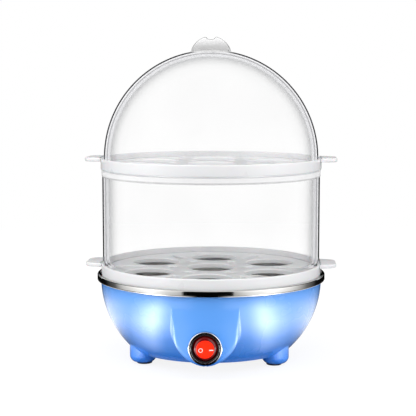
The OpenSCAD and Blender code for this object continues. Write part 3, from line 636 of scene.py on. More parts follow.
# ---------------------------------------------------------------- bottom cover
# Round blue plate let into the stepped underside, with a row of vent slots to cool the wiring
# and three countersunk seats for its self-tapping screws.
cover_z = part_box("bottom_cover")[0].z / mm
slot_half, slot_w, slot_pitch = 10.0, 2.6, 6.0
cover_screw_r, cover_screw_turns = 40.0, (30, 150, 270)


def capsule(x, y, half, r, steps=10, turn=0.0):
    """A long round-ended outline with its middle at x, y, its length along turn."""
    ends = [(half + r * cos(a), r * sin(a)) for a in (-pi / 2 + pi * i / steps for i in range(steps + 1))]
    loop = ends + [(-u, -v) for u, v in ends]
    return [(x + u * cos(turn) - v * sin(turn), y + u * sin(turn) + v * cos(turn)) for u, v in loop]


def within(x, y, loop):
    """True if a place is inside a closed loop of points."""
    crossings = 0
    for (x0, y0), (x1, y1) in zip(loop, loop[1:] + loop[:1]):
        if (y0 > y) != (y1 > y) and x < x0 + (y - y0) * (x1 - x0) / (y1 - y0):
            crossings += 1
    return crossings % 2 == 1


def sheet_with_holes(edge, loops, level):
    """Points and faces of a flat sheet at a height, inside its edge and outside its holes."""
    boxes = [([f(values) for values in zip(*loop) for f in (min, max)], loop) for loop in loops]

    def solid(x, y):
        return within(x, y, edge) and not any(
            x0 < x < x1 and y0 < y < y1 and within(x, y, loop) for (x0, x1, y0, y1), loop in boxes)

    flat_points, flat_faces = flat_sheet([edge] + loops, [], [], solid)
    return [(x, y, level) for x, y in flat_points], flat_faces


def pierced_plate(upper_edge, under_edge, top, under, holes):
    """Points and faces of a plate's two faces and of its holes, each a list of (loop, height) going down."""
    return joined(sheet_with_holes(upper_edge, [hole[0][0] for hole in holes], top),
                  sheet_with_holes(under_edge, [hole[-1][0] for hole in holes], under),
                  *(rows_of([[(x, y, z) for x, y in loop] for loop, z in hole]) for hole in holes))


cover_holes = []
for k in range(-3, 4):
    cover_holes.append([
        (capsule(k * slot_pitch, 0, slot_half - slot_w / 2, slot_w / 2 + grow, turn=pi / 2), cover_z + z)
        for grow, z in ((0.4, 2), (0, 1.6), (0, 0.4), (0.4, 0))])
for a in cover_screw_turns:
    x, y = cover_screw_r * cos(radians(a)), cover_screw_r * sin(radians(a))
    cover_holes.append([(circle(r, 36, x, y), cover_z + z)
                        for r, z in ((1.6, 2), (1.6, 1.2), (2.9, 1.2), (2.9, 0.3), (3.2, 0))])
cover_rim = [(circle(cover_r - inset, 128), cover_z + z)
             for inset, z in ((0.4, 2), (0, 1.6), (0, 0.4), (0.12, 0.12), (0.4, 0))]
cover_shape = joined(pierced_plate(cover_rim[0][0], cover_rim[-1][0], cover_z + 2, cover_z, cover_holes),
                     rows_of([[(x, y, z) for x, y in loop] for loop, z in cover_rim]))
cover_blue = finish("satin_blue_abs", (0.1, 0.31, 0.86), 0.42, shade=0.04, patch=30.0, grain=1800.0,
                    relief=0.04)
moulding("bottom_cover_plate", cover_shape, cover_blue, "base", "shell_blue", "bottom_cover")
one_cover_screw = screw(cover_screw_r, cover_z + 1.2, 2.9, 7.4, 5.4, 1.1, "one_cover_screw")
round_set("cover_screws_zinc", one_cover_screw, 3, 30, zinc, "base", "zinc_steel", "cover_screws")

# ---------------------------------------------------------------- cord gland
# Black flanged bush moulded in nylon. It passes through the boss at the back, where a nut holds it;
# its mouth is belled so that the mains cord bends without a nick.
gland_bore, gland_neck, gland_flange, gland_tip = 3.3, 5.0, 7.0, 78.6
gland_profile = outline((gland_bore, 58, 0.3), (gland_bore, gland_tip, 1.4), (gland_flange, gland_tip, 0.9),
                        (gland_flange, boss_y, 0.3), (gland_neck, boss_y, 0), (gland_neck, 58, 0.4))
gland = moved(turned(gland_profile, 64), lambda x, y, z: (x, z, gland_z - y))
black_nylon = finish("black_nylon", (0.018, 0.02, 0.024), 0.38, shade=0.2, patch=90.0, grain=1500.0,
                     relief=0.05)
moulding("cord_gland_bush", gland, black_nylon, "base", "black_plastic", "cord_gland")

# ---------------------------------------------------------------- heating dish
# Pressed from 0.8 mm stainless sheet: a polished band that wraps over the shell's edge, a ledge
# where the lower tray stands, and a basin whose floor is spun to a fine circular grain.
rim_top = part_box("heating_dish")[1].z / mm
rim_r, rim_drop, ledge_z = 82.0, 4.1, rim_top - 1.1
basin_z, sheet_t = ledge_z - 14.4, 0.8
dish_profile = outline(
    (rim_r, rim_top - rim_drop, 0.3), (rim_r, rim_top, 1.3), (80.45, rim_top, 0.25), (80.0, ledge_z, 0.3),
    (75.0, ledge_z, 1.2), (73.9, basin_z, 4.2), (69.0, basin_z, 0), (66.6, basin_z + 0.35, 0.8),
    (63.6, basin_z + 0.35, 0.8), (61.2, basin_z, 0.8), (0, basin_z, 0), (0, basin_z - sheet_t, 0),
    (61.0, basin_z - sheet_t, 0.8), (63.4, basin_z - 0.45, 0.8), (66.8, basin_z - 0.45, 0.8),
    (69.4, basin_z - sheet_t, 0), (74.5, basin_z - sheet_t, 4.8), (75.9, ledge_z - sheet_t, 0.6),
    (80.4, ledge_z - sheet_t, 0.3),
    (rim_r - sheet_t, ledge_z, 0.3), (rim_r - sheet_t, rim_top - rim_drop, 0.3), steps=6)


def spun_steel(name, colour, roughness, rings=900.0, relief=0.004):
    """Steel with a fine grain that runs round the cooker's axis."""
    material, tree, skin = new_material(name, 1.0)
    where, split, flat_place, reach = new_nodes(
        tree, "Shader", "TexCoord", "SeparateXYZ", "CombineXYZ", "VectorMath")
    reach.operation = "LENGTH"
    grain, smudge = noise_of(tree, rings, 4.0), noise_of(tree, 26.0, 4.0)
    grain.noise_dimensions = "1D"
    both = maths(tree, "MULTIPLY")
    tint = ramp_of(tree, [(0.25, tuple(c * 0.9 for c in colour)), (0.75, colour)])
    gloss = ramp_of(tree, [(0.1, roughness * 0.6), (0.45, roughness * 1.5)])
    bump = bump_of(tree, 0.6, relief)
    wire_up(tree, [
        (where, "Object", split, 0), (split, "X", flat_place, "X"), (split, "Y", flat_place, "Y"),
        (flat_place, 0, reach, 0), (reach, "Value", grain, "W"), (where, "Object", smudge, "Vector"),
        (grain, "Fac", both, 0), (smudge, "Fac", both, 1), (both, 0, gloss, "Fac"),
        (smudge, "Fac", tint, "Fac"), (tint, "Color", skin, "Base Color"), (gloss, "Color", skin, "Roughness"),
        (grain, "Fac", bump, "Height"), (bump, "Normal", skin, "Normal")])
    return material


dish_steel = spun_steel("polished_stainless", (0.80, 0.79, 0.77), 0.075)
moulding("heating_dish_pressing", turned(dish_profile, 192), dish_steel, "base", "dish_steel", "heating_dish",
         sharp=40)

# ---------------------------------------------------------------- rocker switch
# A round snap-in switch: black housing clamped behind a chromed trim ring, and a red translucent
# button that rocks on two pins over a glow lamp. Its marks are printed in pale ink.
pivot_y = seat_y + 2.5
rest_tilt = radians(7)                  # the button is stored switched on


def on_seat(x, up, deep):
    """A place given across, up and deep from the trim ring's seat into the base."""
    return x, seat_y + deep, switch_z + up


def on_rocker(x, up, deep):
    """A place given across, up and deep from the rocker's pivot line, turned to the stored position."""
    level, slope = cos(rest_tilt), sin(rest_tilt)
    return x * level - deep * slope, pivot_y + x * slope + deep * level, switch_z + up


trim_r, trim_bore, trim_stand = 11.4, 9.65, 2.0
trim_ring = turned(outline((trim_bore, 0, 0.1), (trim_r, 0, 0.1), (trim_r, -trim_stand, 1.6),
                           (trim_bore, -trim_stand, 0.14), steps=10), 96)
chrome = finish("bright_chrome", (0.86, 0.86, 0.87), 0.14, shade=0.04, patch=260.0, grain=3000.0, relief=0.004,
                metallic=1.0)
moulding("switch_trim_ring", moved(trim_ring, on_seat), chrome, "base", "chrome_trim", "switch_bezel")

well_r, collar_r, barrel_r, well_depth = 8.8, 9.6, 9.9, 8.0
housing = turned(outline(
    (well_r, -1.6, 0.35), (collar_r, -1.6, 0.35), (collar_r, 0, 0), (barrel_r, 0.05, 0.2), (barrel_r, 10, 0.6),
    (2.0, 10, 0), (2.0, well_depth, 0), (well_r, well_depth, 0.5)), 96)


def soft_box(lo, hi, soft):
    """Points and faces of a box with rounded edges along its depth and softened ends."""
    x0, z0, y0 = lo
    x1, z1, y1 = hi
    rows = []
    for inset, y in ((soft, y0), (soft * 0.3, y0 + soft * 0.3), (0, y0 + soft), (0, y1 - soft),
                     (soft * 0.3, y1 - soft * 0.3), (soft, y1)):
        corner = outline((x0 + inset, z0 + inset, soft), (x1 - inset, z0 + inset, soft),
                         (x1 - inset, z1 - inset, soft), (x0 + inset, z1 - inset, soft), steps=4)
        rows.append([(u, v, y) for u, v in corner])
    return capped(rows)


housing = joined(housing, soft_box((-7.5, -8, 9.6), (7.5, 8, 20), 0.7))
black_plastic = finish("black_switch_nylon", (0.014, 0.014, 0.016), 0.3, shade=0.25, patch=150.0, grain=2200.0,
                       relief=0.02)
moulding("switch_housing", moved(housing, on_seat), black_plastic, "base", "black_plastic", "switch_body")

face_r, crown, ball_r, skirt_back, skin_t = 6.2, 4.4, 8.4, 3.0, 1.6
side_start = -3.5
button_profile = [(0, -crown + 0.22), (2.4, -crown + 0.18), (4.4, -crown + 0.06), (5.5, -crown),
                  (5.9, -crown + 0.03), (face_r, -crown + 0.2), (6.9, -crown + 0.47)]
side_levels = [side_start + (skirt_back - side_start) * k / 12 for k in range(13)]
button_profile += [(sqrt(ball_r ** 2 - y * y), y) for y in side_levels]
button_profile += [(face_r, skirt_back), (face_r, skin_t - crown), (0, skin_t - crown)]
pin_rings = ((0.8, 0), (1, 0.2), (1, 3.0), (0.8, 3.2))
pins = [capped([[(x, up + lift, y) for x, y in circle(r, 24)] for r, lift in pin_rings]) for up in (-9.2, 6.0)]
button = joined(turned(button_profile, 96), *pins)

lit_red = finish("translucent_red", (0.72, 0.008, 0.004), 0.2, shade=0.06, patch=300.0, grain=2200.0,
                 relief=0.006, Emission_Color=(1.0, 0.028, 0.0, 1), Coat_Weight=0.5, Coat_Roughness=0.05)
lamp_tree = lit_red.node_tree
lit_skin = lamp_tree.nodes["Principled BSDF"]
button_place, centred, from_lamp = new_nodes(lamp_tree, "Shader", "TexCoord", "Mapping", "VectorMath")
glow_low, glow_scale = 0.4, 100         # the glow's middle is this far under the switch's middle
centred.inputs["Location"].default_value = (0, 0, -(switch_z - glow_low) * mm * glow_scale)
centred.inputs["Scale"].default_value = (glow_scale, 0, glow_scale)
from_lamp.operation = "LENGTH"
glow_fade = ramp_of(lamp_tree, [(0.0, 0.9), (0.45, 0.85), (0.58, 0.75), (0.63, 0.03), (1.0, 0.02)])
# painted shade: the button's red is painted dark on the flank, away from the lamp, and stays full red on the
# face
painted_shade_red = ramp_of(lamp_tree, [(0.0, (0.75, 0.010, 0.003)), (0.59, (0.70, 0.008, 0.004)),
                               (0.63, (0.13, 0.002, 0.004)), (1.0, (0.09, 0.002, 0.004))])
wire_up(lamp_tree, [
    (button_place, "Object", centred, 0), (centred, 0, from_lamp, 0), (from_lamp, "Value", glow_fade, "Fac"),
    (glow_fade, "Color", lit_skin, "Emission Strength"), (from_lamp, "Value", painted_shade_red, "Fac"),
    (painted_shade_red, "Color", lit_skin, "Base Color")])
moulding("rocker_button", moved(button, on_rocker), lit_red, "rocker", "rocker_red", "rocker", sharp=38)

mark_x, mark_drop, ink_out, ink_back = 3.5, -0.9, crown + 0.02, 0.3 - (crown + 0.02)
ring_section = ((1.05, ink_back), (1.5, ink_back), (1.5, -ink_out), (1.05, -ink_out))
ring_mark = moved(turned(ring_section, 40), lambda x, up, deep: (x - mark_x, up + mark_drop, deep))
bar_mark = soft_box((mark_x - 1.3, mark_drop - 0.36, -ink_out), (mark_x + 1.5, mark_drop + 0.36, ink_back),
                    0.06)
pale_ink = finish("pale_ink", (0.95, 0.62, 0.60), 0.5, shade=0.05, patch=400.0, grain=3000.0, relief=0.01,
                  Emission_Color=(1.0, 0.7, 0.66, 1), Emission_Strength=0.35)
moulding("rocker_marks", moved(joined(ring_mark, bar_mark), on_rocker), pale_ink, "rocker", "rocker_red")


def tube_along(tree, entry, sides):
    """A round tube swept along a curve, as wide as the tree's Diameter."""
    section, tube = new_nodes(tree, "Geometry", "CurvePrimitiveCircle", "CurveToMesh")
    section.inputs["Resolution"].default_value = sides
    tube.inputs["Fill Caps"].default_value = True
    half = maths(tree, "MULTIPLY", None, 0.5)
    wire_up(tree, [(entry, "Diameter", half, 0), (half, 0, section, "Radius"),
                   (section, 0, tube, "Profile Curve")])
    return tube


coil, entry, out = node_tree("coil_spring", ("Turns", "Float"), ("Coil Radius", "Float"), ("Length", "Float"),
                             ("Diameter", "Float"), ("Place", "Vector"), ("Tilt", "Float"))
helix, set_down = new_nodes(coil, "Geometry", "CurveSpiral", "Transform")
helix.inputs["Resolution"].default_value = 28
tube = tube_along(coil, entry, 12)
lean = coil.nodes.new("ShaderNodeCombineXYZ")
lean.inputs["X"].default_value = -pi / 2
wire_up(coil, [
    (entry, "Turns", helix, "Rotations"), (entry, "Coil Radius", helix, "Start Radius"),
    (entry, "Coil Radius", helix, "End Radius"), (entry, "Length", helix, "Height"), (helix, 0, tube, "Curve"),
    (entry, "Tilt", lean, "Z"), (lean, 0, set_down, "Rotation"), (tube, 0, set_down, "Geometry"),
    (entry, "Place", set_down, "Translation")])
end_tree(coil, set_down, entry, out)
spring_steel = finish("spring_steel", (0.55, 0.55, 0.56), 0.25, shade=0.1, patch=400.0, grain=4000.0,
                      relief=0.004, metallic=1.0)
spring_foot = Vector(on_rocker(0, 0, -2.4)) * mm
spring = grown("rocker_spring_coil", coil, {
    "Turns": 4.0, "Coil Radius": 1.1 * mm, "Length": 3.3 * mm, "Diameter": 0.4 * mm,
    "Place": tuple(spring_foot), "Tilt": rest_tilt, "Finish": spring_steel})
piece("rocker_spring_coil", spring, spring_steel, "rocker", "zinc_steel", "rocker_spring")

# ---------------------------------------------------------------- wiring
# Heat-proof silicone-covered copper wires, coloured by circuit. Each runs in loose curves from its
# brass clamp or push-on connector along the floor of the base to the part that it feeds.
wire_d = 2.2
floor_level = shell_foot + cover_t + wall
pole_z, pole_y, plug_y = floor_level + 5, 36.0, seat_y + 30
thermo_y, thermo_plug = -18.0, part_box("thermostat_connectors")[0].z / mm
lead_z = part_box("heater_case")[0].z / mm + 3.5
fuse_y, fuse_z = 30.0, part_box("heater_case")[0].z / mm + 2
tag_y, tag_z = 26.0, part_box("heater_clamp")[0].z / mm - 1.5
wire_routes = {
    "live_wire": ((0.20, 0.055, 0.02), "wire_brown", [
        (-12, pole_y, pole_z), (-12, 29, pole_z), (-26, 10, 14), (-26, -14, 14), (-12, -32, 15), (-3, -37, 19),
        (0, -42, switch_z), (0, plug_y, switch_z)]),
    "switched_wire": ((0.20, 0.055, 0.02), "wire_brown", [
        (-4.8, plug_y, switch_z), (-4.8, -42, switch_z), (-6, -34, 23), (-5, -24, 20), (-4, thermo_y, 20.5),
        (-4, thermo_y, thermo_plug)]),
    "heater_wire": ((0.75, 0.74, 0.70), "wire_white", [
        (4, thermo_y, thermo_plug), (4, thermo_y, 20.5), (1, -10, 17), (-14, 8, 19), (-20, 24, 26),
        (-20, 32, 36), (-16, 31, fuse_z), (-9, fuse_y, fuse_z)]),
    "fuse_wire": ((0.75, 0.74, 0.70), "wire_white", [
        (9, fuse_y, fuse_z), (16, 31, fuse_z), (30, 31, 41), (37, 25, lead_z), (34, 17, lead_z),
        (27, 17, lead_z)]),
    "neutral_wire": ((0.03, 0.10, 0.48), "wire_blue", [
        (4, pole_y, pole_z), (4, 29, pole_z), (12, 18, 18), (26, 6, 24), (36, 1, 32), (37, 3, 38),
        (34, 9, lead_z), (27, 9, lead_z)]),
    "lamp_wire": ((0.03, 0.10, 0.48), "wire_blue", [
        (4.8, plug_y, switch_z), (4.8, -42, switch_z), (16, -30, 15), (22, -10, 14), (10, 8, 14), (-2, 24, 15),
        (-4, 30, pole_z), (-4, pole_y, pole_z)]),
    "earth_wire": ((0.30, 0.52, 0.04), "wire_green", [
        (12, pole_y, pole_z), (12, 30, pole_z), (24, 32, 20), (38, 38, 26), (40, 37, 33), (40, 33, tag_z),
        (40, 30, tag_z), (40, tag_y, tag_z)]),
}


def smooth_route(route, steps=8):
    """A smooth line of points through a route's points."""
    spots = [Vector(p) for p in route]
    line = []
    for i in range(len(spots) - 1):
        a, b, c, d = spots[max(i - 1, 0)], spots[i], spots[i + 1], spots[min(i + 2, len(spots) - 1)]
        for k in range(steps):
            t = k / steps
            bend, swing = 2 * a - 5 * b + 4 * c - d, 3 * b - a - 3 * c + d
            line.append(0.5 * (2 * b + (c - a) * t + bend * t * t + swing * t ** 3))
    return line + [spots[-1]]


cover_tree, entry, out = node_tree("wire_cover", ("Route", "Object"), ("Diameter", "Float"))
route_in, as_curve = new_nodes(cover_tree, "Geometry", "ObjectInfo", "MeshToCurve")
tube = tube_along(cover_tree, entry, 16)
wire_up(cover_tree, [(entry, "Route", route_in, 0), (route_in, "Geometry", as_curve, 0),
                     (as_curve, 0, tube, "Curve")])
end_tree(cover_tree, tube, entry, out)
wire_finishes = {}
for name, (colour, slot, route) in wire_routes.items():
    if slot not in wire_finishes:
        wire_finishes[slot] = finish(slot + "_silicone", colour, 0.45, 0.08, 150.0, 1800.0, 0.03)
    line = [p * mm for p in smooth_route(route)]
    track = bpy.data.meshes.new(name + "_track")
    track.from_pydata(line, [(i, i + 1) for i in range(len(line) - 1)], [])
    cover = grown(name + "_cover", cover_tree, {
        "Route": bpy.data.objects.new(name + "_track", track), "Diameter": wire_d * mm,
        "Finish": wire_finishes[slot]})
    piece(name + "_cover", cover, wire_finishes[slot], "base", slot, name)

# ---------------------------------------------------------------- inner works
# Pressed, turned and stamped pieces under the dish and behind the switch. Their CAD solids have
# the right shape, so each only takes the finish of what it is made of.
def dress(material, *nodes):
    """Gives CAD nodes, shown as they are, the finish of what they are made of."""
    for node in nodes:
        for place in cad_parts[node].material_slots:
            place.material = material


dress(zinc, "gland_nut", "block_screw", "dish_studs", "dish_washers", "dish_nuts", "heater_clamp",
      "clamp_nuts", "thermostat_bracket", "thermostat_screws")
dress(finish("stamped_brass", (0.72, 0.50, 0.20), 0.3, 0.1, 200.0, 2200.0, 0.01, 1.0),
      "block_clamps", "earth_tag", "thermostat_tabs", "switch_terminals", "rocker_plunger", "contact_blade")
dress(finish("rolled_aluminium", (0.74, 0.75, 0.76), 0.38, 0.06, 120.0, 1600.0, 0.012, 1.0),
      "heater_case", "thermostat_cap")
dress(finish("ivory_nylon", (0.74, 0.69, 0.56), 0.45, 0.04, 80.0, 1500.0, 0.03), "terminal_block")
dress(finish("white_silicone", (0.82, 0.82, 0.80), 0.6, 0.03, 70.0, 1400.0, 0.04), "dish_gasket")
dress(finish("brown_phenolic", (0.10, 0.045, 0.022), 0.5, 0.2, 160.0, 1800.0, 0.05), "thermostat_body")
dress(finish("pressed_mica", (0.55, 0.47, 0.33), 0.5, 0.2, 260.0, 900.0, 0.05), "heater_insulation")
dress(finish("heater_ceramic", (0.25, 0.19, 0.15), 0.7, 0.15, 200.0, 1200.0, 0.06), "heater_core")
dress(finish("fuse_case", (0.66, 0.67, 0.68), 0.35, 0.08, 300.0, 2400.0, 0.01, 1.0), "thermal_fuse")
dress(finish("woven_sleeve", (0.80, 0.79, 0.74), 0.8, 0.06, 500.0, 2600.0, 0.12),
      "fuse_sleeve", "switch_connectors", "thermostat_connectors")
dress(finish("neon_glass", (0.9, 0.32, 0.10), 0.1, 0.05, 300.0, 900.0, 0.004,
             Emission_Color=(1.0, 0.25, 0.05, 1), Emission_Strength=1.5), "switch_lamp")

# ---------------------------------------------------------------- egg trays
# Two equal trays moulded in white polypropylene. Each has seven bevelled seats with a collar
# underneath, steam slots and holes, a skirt that centres it, a raised rim and two lifting ears.
tray_white = finish("white_polypropylene", (0.75, 0.755, 0.765), 0.3, shade=0.012, patch=35.0, grain=1300.0,
                    relief=0.015, Subsurface_Weight=0.08, Subsurface_Scale=0.004)
tray_r, tray_h, skirt_h = 79.0, 8.5, 4.0
plate_top, plate_t = 4.5, 1.8
plate_under = plate_top - plate_t
rim_inner_r = tray_r - 1.9
spigot_r, skirt_t = 74.0, 1.3
seat_r_tray, seat_ring_r = 17.0, 48.5
collar_r_tray, collar_under = seat_r_tray + 1.2, plate_under - 1.6
slot_from, slot_to, steam_slot_w = 48.5, 65.0, 5.0
steam_ring_r, steam_hole_r = 28.0, 3.0
ear_tip, ear_root, ear_t, ear_top = 90.0, 15.0, 2.8, tray_h + 0.4
plate_edge_r, under_edge_r = rim_inner_r - 0.9, spigot_r - skirt_t - 0.5
tray_steps = 192


def tray_shape(foot):
    """Points and faces of one tray whose rim stands at a height."""
    holes = []
    seat_places = [(0, 0)] + circle(seat_ring_r, 6, turn=pi / 6)
    for x, y in seat_places:
        bevel = [pi / 2 * k / 5 for k in range(6)]
        drop = [(seat_r_tray + 1.25 - 1.25 * sin(t), plate_top - 0.65 * (1 - cos(t))) for t in bevel]
        drop += [(seat_r_tray, plate_top - 1.0), (seat_r_tray, collar_under + 0.3),
                 (seat_r_tray + 0.3, collar_under), (collar_r_tray - 0.3, collar_under),
                 (collar_r_tray, collar_under + 0.3), (collar_r_tray, plate_under - 0.3),
                 (collar_r_tray + 0.3, plate_under)]
        holes.append([(circle(r, 96, x, y), foot + z) for r, z in drop])
    middle, half = (slot_from + slot_to) / 2, (slot_to - slot_from) / 2
    slot_drop = ((0.5, plate_top), (0.25, plate_top - 0.08), (0.08, plate_top - 0.25), (0, plate_top - 0.5),
                 (0, plate_under + 0.15), (0.15, plate_under))
    hole_drop = ((0.6, plate_top), (0.3, plate_top - 0.1), (0.1, plate_top - 0.3), (0, plate_top - 0.6),
                 (0, plate_under + 0.15), (0.15, plate_under))
    for k in range(6):
        a = radians(60 * k)
        out, up = cos(a), sin(a)
        holes.append([(capsule(middle * out, middle * up, half, steam_slot_w / 2 + grow, turn=a), foot + z)
                      for grow, z in slot_drop])
        holes.append([(circle(steam_hole_r + grow, 40, steam_ring_r * out, steam_ring_r * up), foot + z)
                      for grow, z in hole_drop])
    plate = pierced_plate(circle(plate_edge_r, tray_steps), circle(under_edge_r, tray_steps),
                          foot + plate_top, foot + plate_under, holes)
    edge = outline(
        (plate_edge_r, plate_top, 0), (rim_inner_r, plate_top, 0.7), (rim_inner_r, tray_h, 0.7),
        (tray_r, tray_h, 0.9), (tray_r, 1.2, 0.6), (tray_r - 0.5, 0, 0.25), (rim_inner_r - 0.1, 0, 0.3),
        (rim_inner_r - 0.1, plate_under, 0.5), (spigot_r, plate_under, 0.5), (spigot_r, -skirt_h, 0.4),
        (spigot_r - skirt_t, -skirt_h, 0.4), (spigot_r - skirt_t, plate_under, 0.4),
        (under_edge_r, plate_under, 0))
    return joined(plate, rows_of([[(x, y, foot + z) for x, y in circle(r, tray_steps)] for r, z in edge]))


def ear_outline():
    """Half ellipse of a lifting ear on the +X side, with its root inside the tray's rim."""
    tip_r, tip_x = 7.0, ear_tip - 7.0
    upper = [(77.9, ear_root), (79.2, ear_root)]
    upper += [(tip_x + tip_r * cos(radians(a)), tip_r + tip_r * sin(radians(a))) for a in range(70, -1, -10)]
    half = []
    for (x0, y0), (x1, y1) in zip(upper, upper[1:]):
        half += [(x0 + (x1 - x0) * k / 3, y0 + (y1 - y0) * k / 3) for k in range(3)]
    half.append(upper[-1])
    return half + [(x, -y) for x, y in reversed(half)]


def inset_loop(loop, amount):
    """A closed loop of points drawn in square to itself. The loop runs clockwise."""
    drawn = []
    for i, (x, y) in enumerate(loop):
        x0, y0 = loop[i - 1]
        x1, y1 = loop[(i + 1) % len(loop)]
        along = Vector((x1 - x0, y1 - y0)).normalized()
        drawn.append((x + along.y * amount, y - along.x * amount))
    return drawn


def ear_rows(side, foot):
    """Rings of one lifting ear from its underside to its top, with rounded edges."""
    loop = [(side * x, side * y) for x, y in ear_outline()]
    rows = []
    soft = 0.9
    for first, middle in ((-pi / 2, ear_top - ear_t + soft), (0, ear_top - soft)):
        for a in (first + pi / 2 * k / 6 for k in range(7)):
            level = foot + middle + soft * sin(a)
            rows.append([(x, y, level) for x, y in inset_loop(loop, soft - soft * cos(a))])
    return rows


for body in ("lower_tray", "upper_tray"):
    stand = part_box(body)[0].z / mm + skirt_h
    ears = [capped(ear_rows(side, stand)) for side in (-1, 1)]
    moulding(body + "_moulding", joined(tray_shape(stand), *ears), tray_white, body, "tray_white", body)

# ---------------------------------------------------------------- steam ring
# Clear styrene cylinder between the trays. Its foot is drawn in to stand inside the lower rim, and
# a thicker collar round its top carries the upper tray.
def clear_styrene(name, frost_and_painted_shade):
    """Clear plastic with painted shade: grey faces, a painted pale band and a painted dark outline seen edge
    on; frost_and_painted_shade has stops of (height, cloudiness, painted shade, painted shade edge on).
    """
    material, tree, skin = new_material(name)
    skin.inputs["IOR"].default_value = 1.45
    where, slant, parts, painted_shade_mix, body = new_nodes(
        tree, "Shader", "TexCoord", "LayerWeight", "SeparateXYZ", "Mix", "Mix")
    painted_shade_mix.data_type = body.data_type = "RGBA"
    haze = noise_of(tree, 18.0, 3.0)
    gloss = ramp_of(tree, [(0.3, 0.02), (0.75, 0.07)])
    # painted shade and highlight by slant: grey faces, a pale band painted as a highlight, and a dark outline
    # painted as shade edge on
    grey, pale, dark = (0.30, 0.305, 0.315), (0.95, 0.95, 0.97), (0.02, 0.02, 0.023)
    painted_tone_by_slant = ramp_of(tree, [(0.0, grey), (0.70, grey), (0.755, pale), (0.825, pale), (0.855, dark), (1.0, dark)])
    cover = ramp_of(tree, [(0.0, 0.006), (0.40, 0.008), (0.50, 0.02), (0.56, 0.055), (0.62, 0.13),
                           (0.705, 0.25), (0.76, 0.42), (0.825, 0.45), (0.86, 0.85), (1.0, 0.95)])
    shine = ramp_of(tree, [(0.0, 0.3), (0.5, 0.2), (0.7, 0.07), (0.86, 0.01), (1.0, 0.0)])
    cloud, painted_face_shade, painted_edge_shade = [ramp_of(tree, [(stop[0] * mm * 4, stop[column]) for stop in frost_and_painted_shade])
                                for column in (1, 2, 3)]
    turned_away = ramp_of(tree, [(0.36, 0.0), (0.5, 1.0)])
    mottled = maths(tree, "MULTIPLY_ADD", None, 0.05, -0.025)
    clearer = maths(tree, "ADD", clamp=True)
    fourth = maths(tree, "MULTIPLY", None, 4.0)     # the frost and painted shade ramps cover a quarter of a metre
    thicker = maths(tree, "MAXIMUM")
    double = maths(tree, "MULTIPLY", None, 2.0, clamp=True)
    wire_up(tree, [
        (where, "Object", haze, "Vector"), (haze, "Fac", gloss, "Fac"), (gloss, "Color", skin, "Roughness"),
        (slant, "Facing", painted_tone_by_slant, "Fac"), (slant, "Facing", cover, "Fac"), (slant, "Facing", shine, "Fac"),
        (shine, "Color", skin, "Specular IOR Level"), (haze, "Fac", mottled, 0), (cover, "Color", clearer, 0),
        (mottled, 0, clearer, 1), (where, "Object", parts, 0), (parts, "Z", fourth, 0),
        (fourth, 0, cloud, "Fac"), (clearer, 0, thicker, 0), (cloud, "Color", thicker, 1),
        (thicker, 0, skin, "Alpha"), (cloud, "Color", double, 0), (fourth, 0, painted_face_shade, "Fac"),
        (fourth, 0, painted_edge_shade, "Fac"), (slant, "Facing", turned_away, "Fac"),
        # a colour Mix takes its colours at sockets 6 and 7, and gives its result at 2
        (turned_away, 0, painted_shade_mix, 0), (painted_face_shade, 0, painted_shade_mix, 6), (painted_edge_shade, 0, painted_shade_mix, 7),
        (double, 0, body, 0), (painted_tone_by_slant, 0, body, 6), (painted_shade_mix, 2, body, 7), (body, 2, skin, "Base Color")])
    return material


studio.cycles.transparent_max_bounces = 24
ring_z, ring_top = (corner.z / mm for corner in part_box("steam_ring"))
ring_h = ring_top - ring_z
ring_r, ring_foot_r, ring_wall, foot_h, collar = 78.0, 76.7, 1.8, 4.3, 4.0
ring_profile = [(r, ring_z + z) for r, z in outline(
    (ring_foot_r, 0, 0.5), (ring_foot_r, foot_h, 1.5), (ring_r, foot_h + 2, 1.5),
    (ring_r, ring_h - collar - 0.2, 0.4), (ring_r + 0.4, ring_h - collar, 0.2),
    (ring_r + 0.4, ring_h, 0.6), (ring_r - 2.2, ring_h, 0.5),
    (ring_r - 2.2, ring_h - collar, 0.3), (ring_r - ring_wall, ring_h - collar - 1, 0.6),
    (ring_r - ring_wall, foot_h + 2.4, 1.5), (ring_foot_r - ring_wall, foot_h + 0.4, 1.5),
    (ring_foot_r - ring_wall, 0, 0.5))]
# painted shade: light grey faces and a grey line painted just under the collar; the collar above is cloudier
# and near white
clear_ring = clear_styrene("clear_styrene", [
    (0, 0, 0.9, 0.9), (ring_top - collar - 0.3, 0, 0.9, 0.9), (ring_top - collar - 0.1, 0.55, 0.55, 0.5),
    (ring_top - collar + 0.5, 0.75, 0.97, 0.93), (ring_top, 0.75, 0.97, 0.93)])
moulding("steam_ring_moulding", turned(ring_profile, 192), clear_ring,
         "steam_ring", "clear_plastic", "steam_ring")

# ---------------------------------------------------------------- lid
# Clear styrene dome with a short upright skirt. A hollow, notched grip is moulded across its crown,
# and three small vents behind the grip let the steam out.
lid_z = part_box("lid")[0].z / mm
dome_r, dome_wall = 76.7, 1.8
dome_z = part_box("upper_tray")[0].z / mm + skirt_h + tray_h - 0.2
crown_z = dome_z + dome_r
grip_rise, grip_t, grip_r, grip_wall = 9.6, 10.0, 14.8, 4.4
grip_z = crown_z + grip_rise - grip_r
notch_r, notch_lift = 4.5, 2.1
sweep_steps = 56
sweep = [pi / 2 * k / sweep_steps for k in range(sweep_steps + 1)]
outer_dome, inner_dome = [[(r * cos(a), dome_z + r * sin(a)) for a in sweep[:-1]] + [(0, dome_z + r)]
                          for r in (dome_r, dome_r - dome_wall)]
dome_profile = [(dome_r - dome_wall + 0.4, lid_z), (dome_r - 0.5, lid_z), (dome_r - 0.15, lid_z + 0.15),
                (dome_r, lid_z + 0.5)]
dome_profile += outer_dome + inner_dome[::-1] + [(dome_r - dome_wall, lid_z + 0.4)]
vent_r, vents = 1.5, ((-6, 11.5), (0, 13), (6, 11.5))


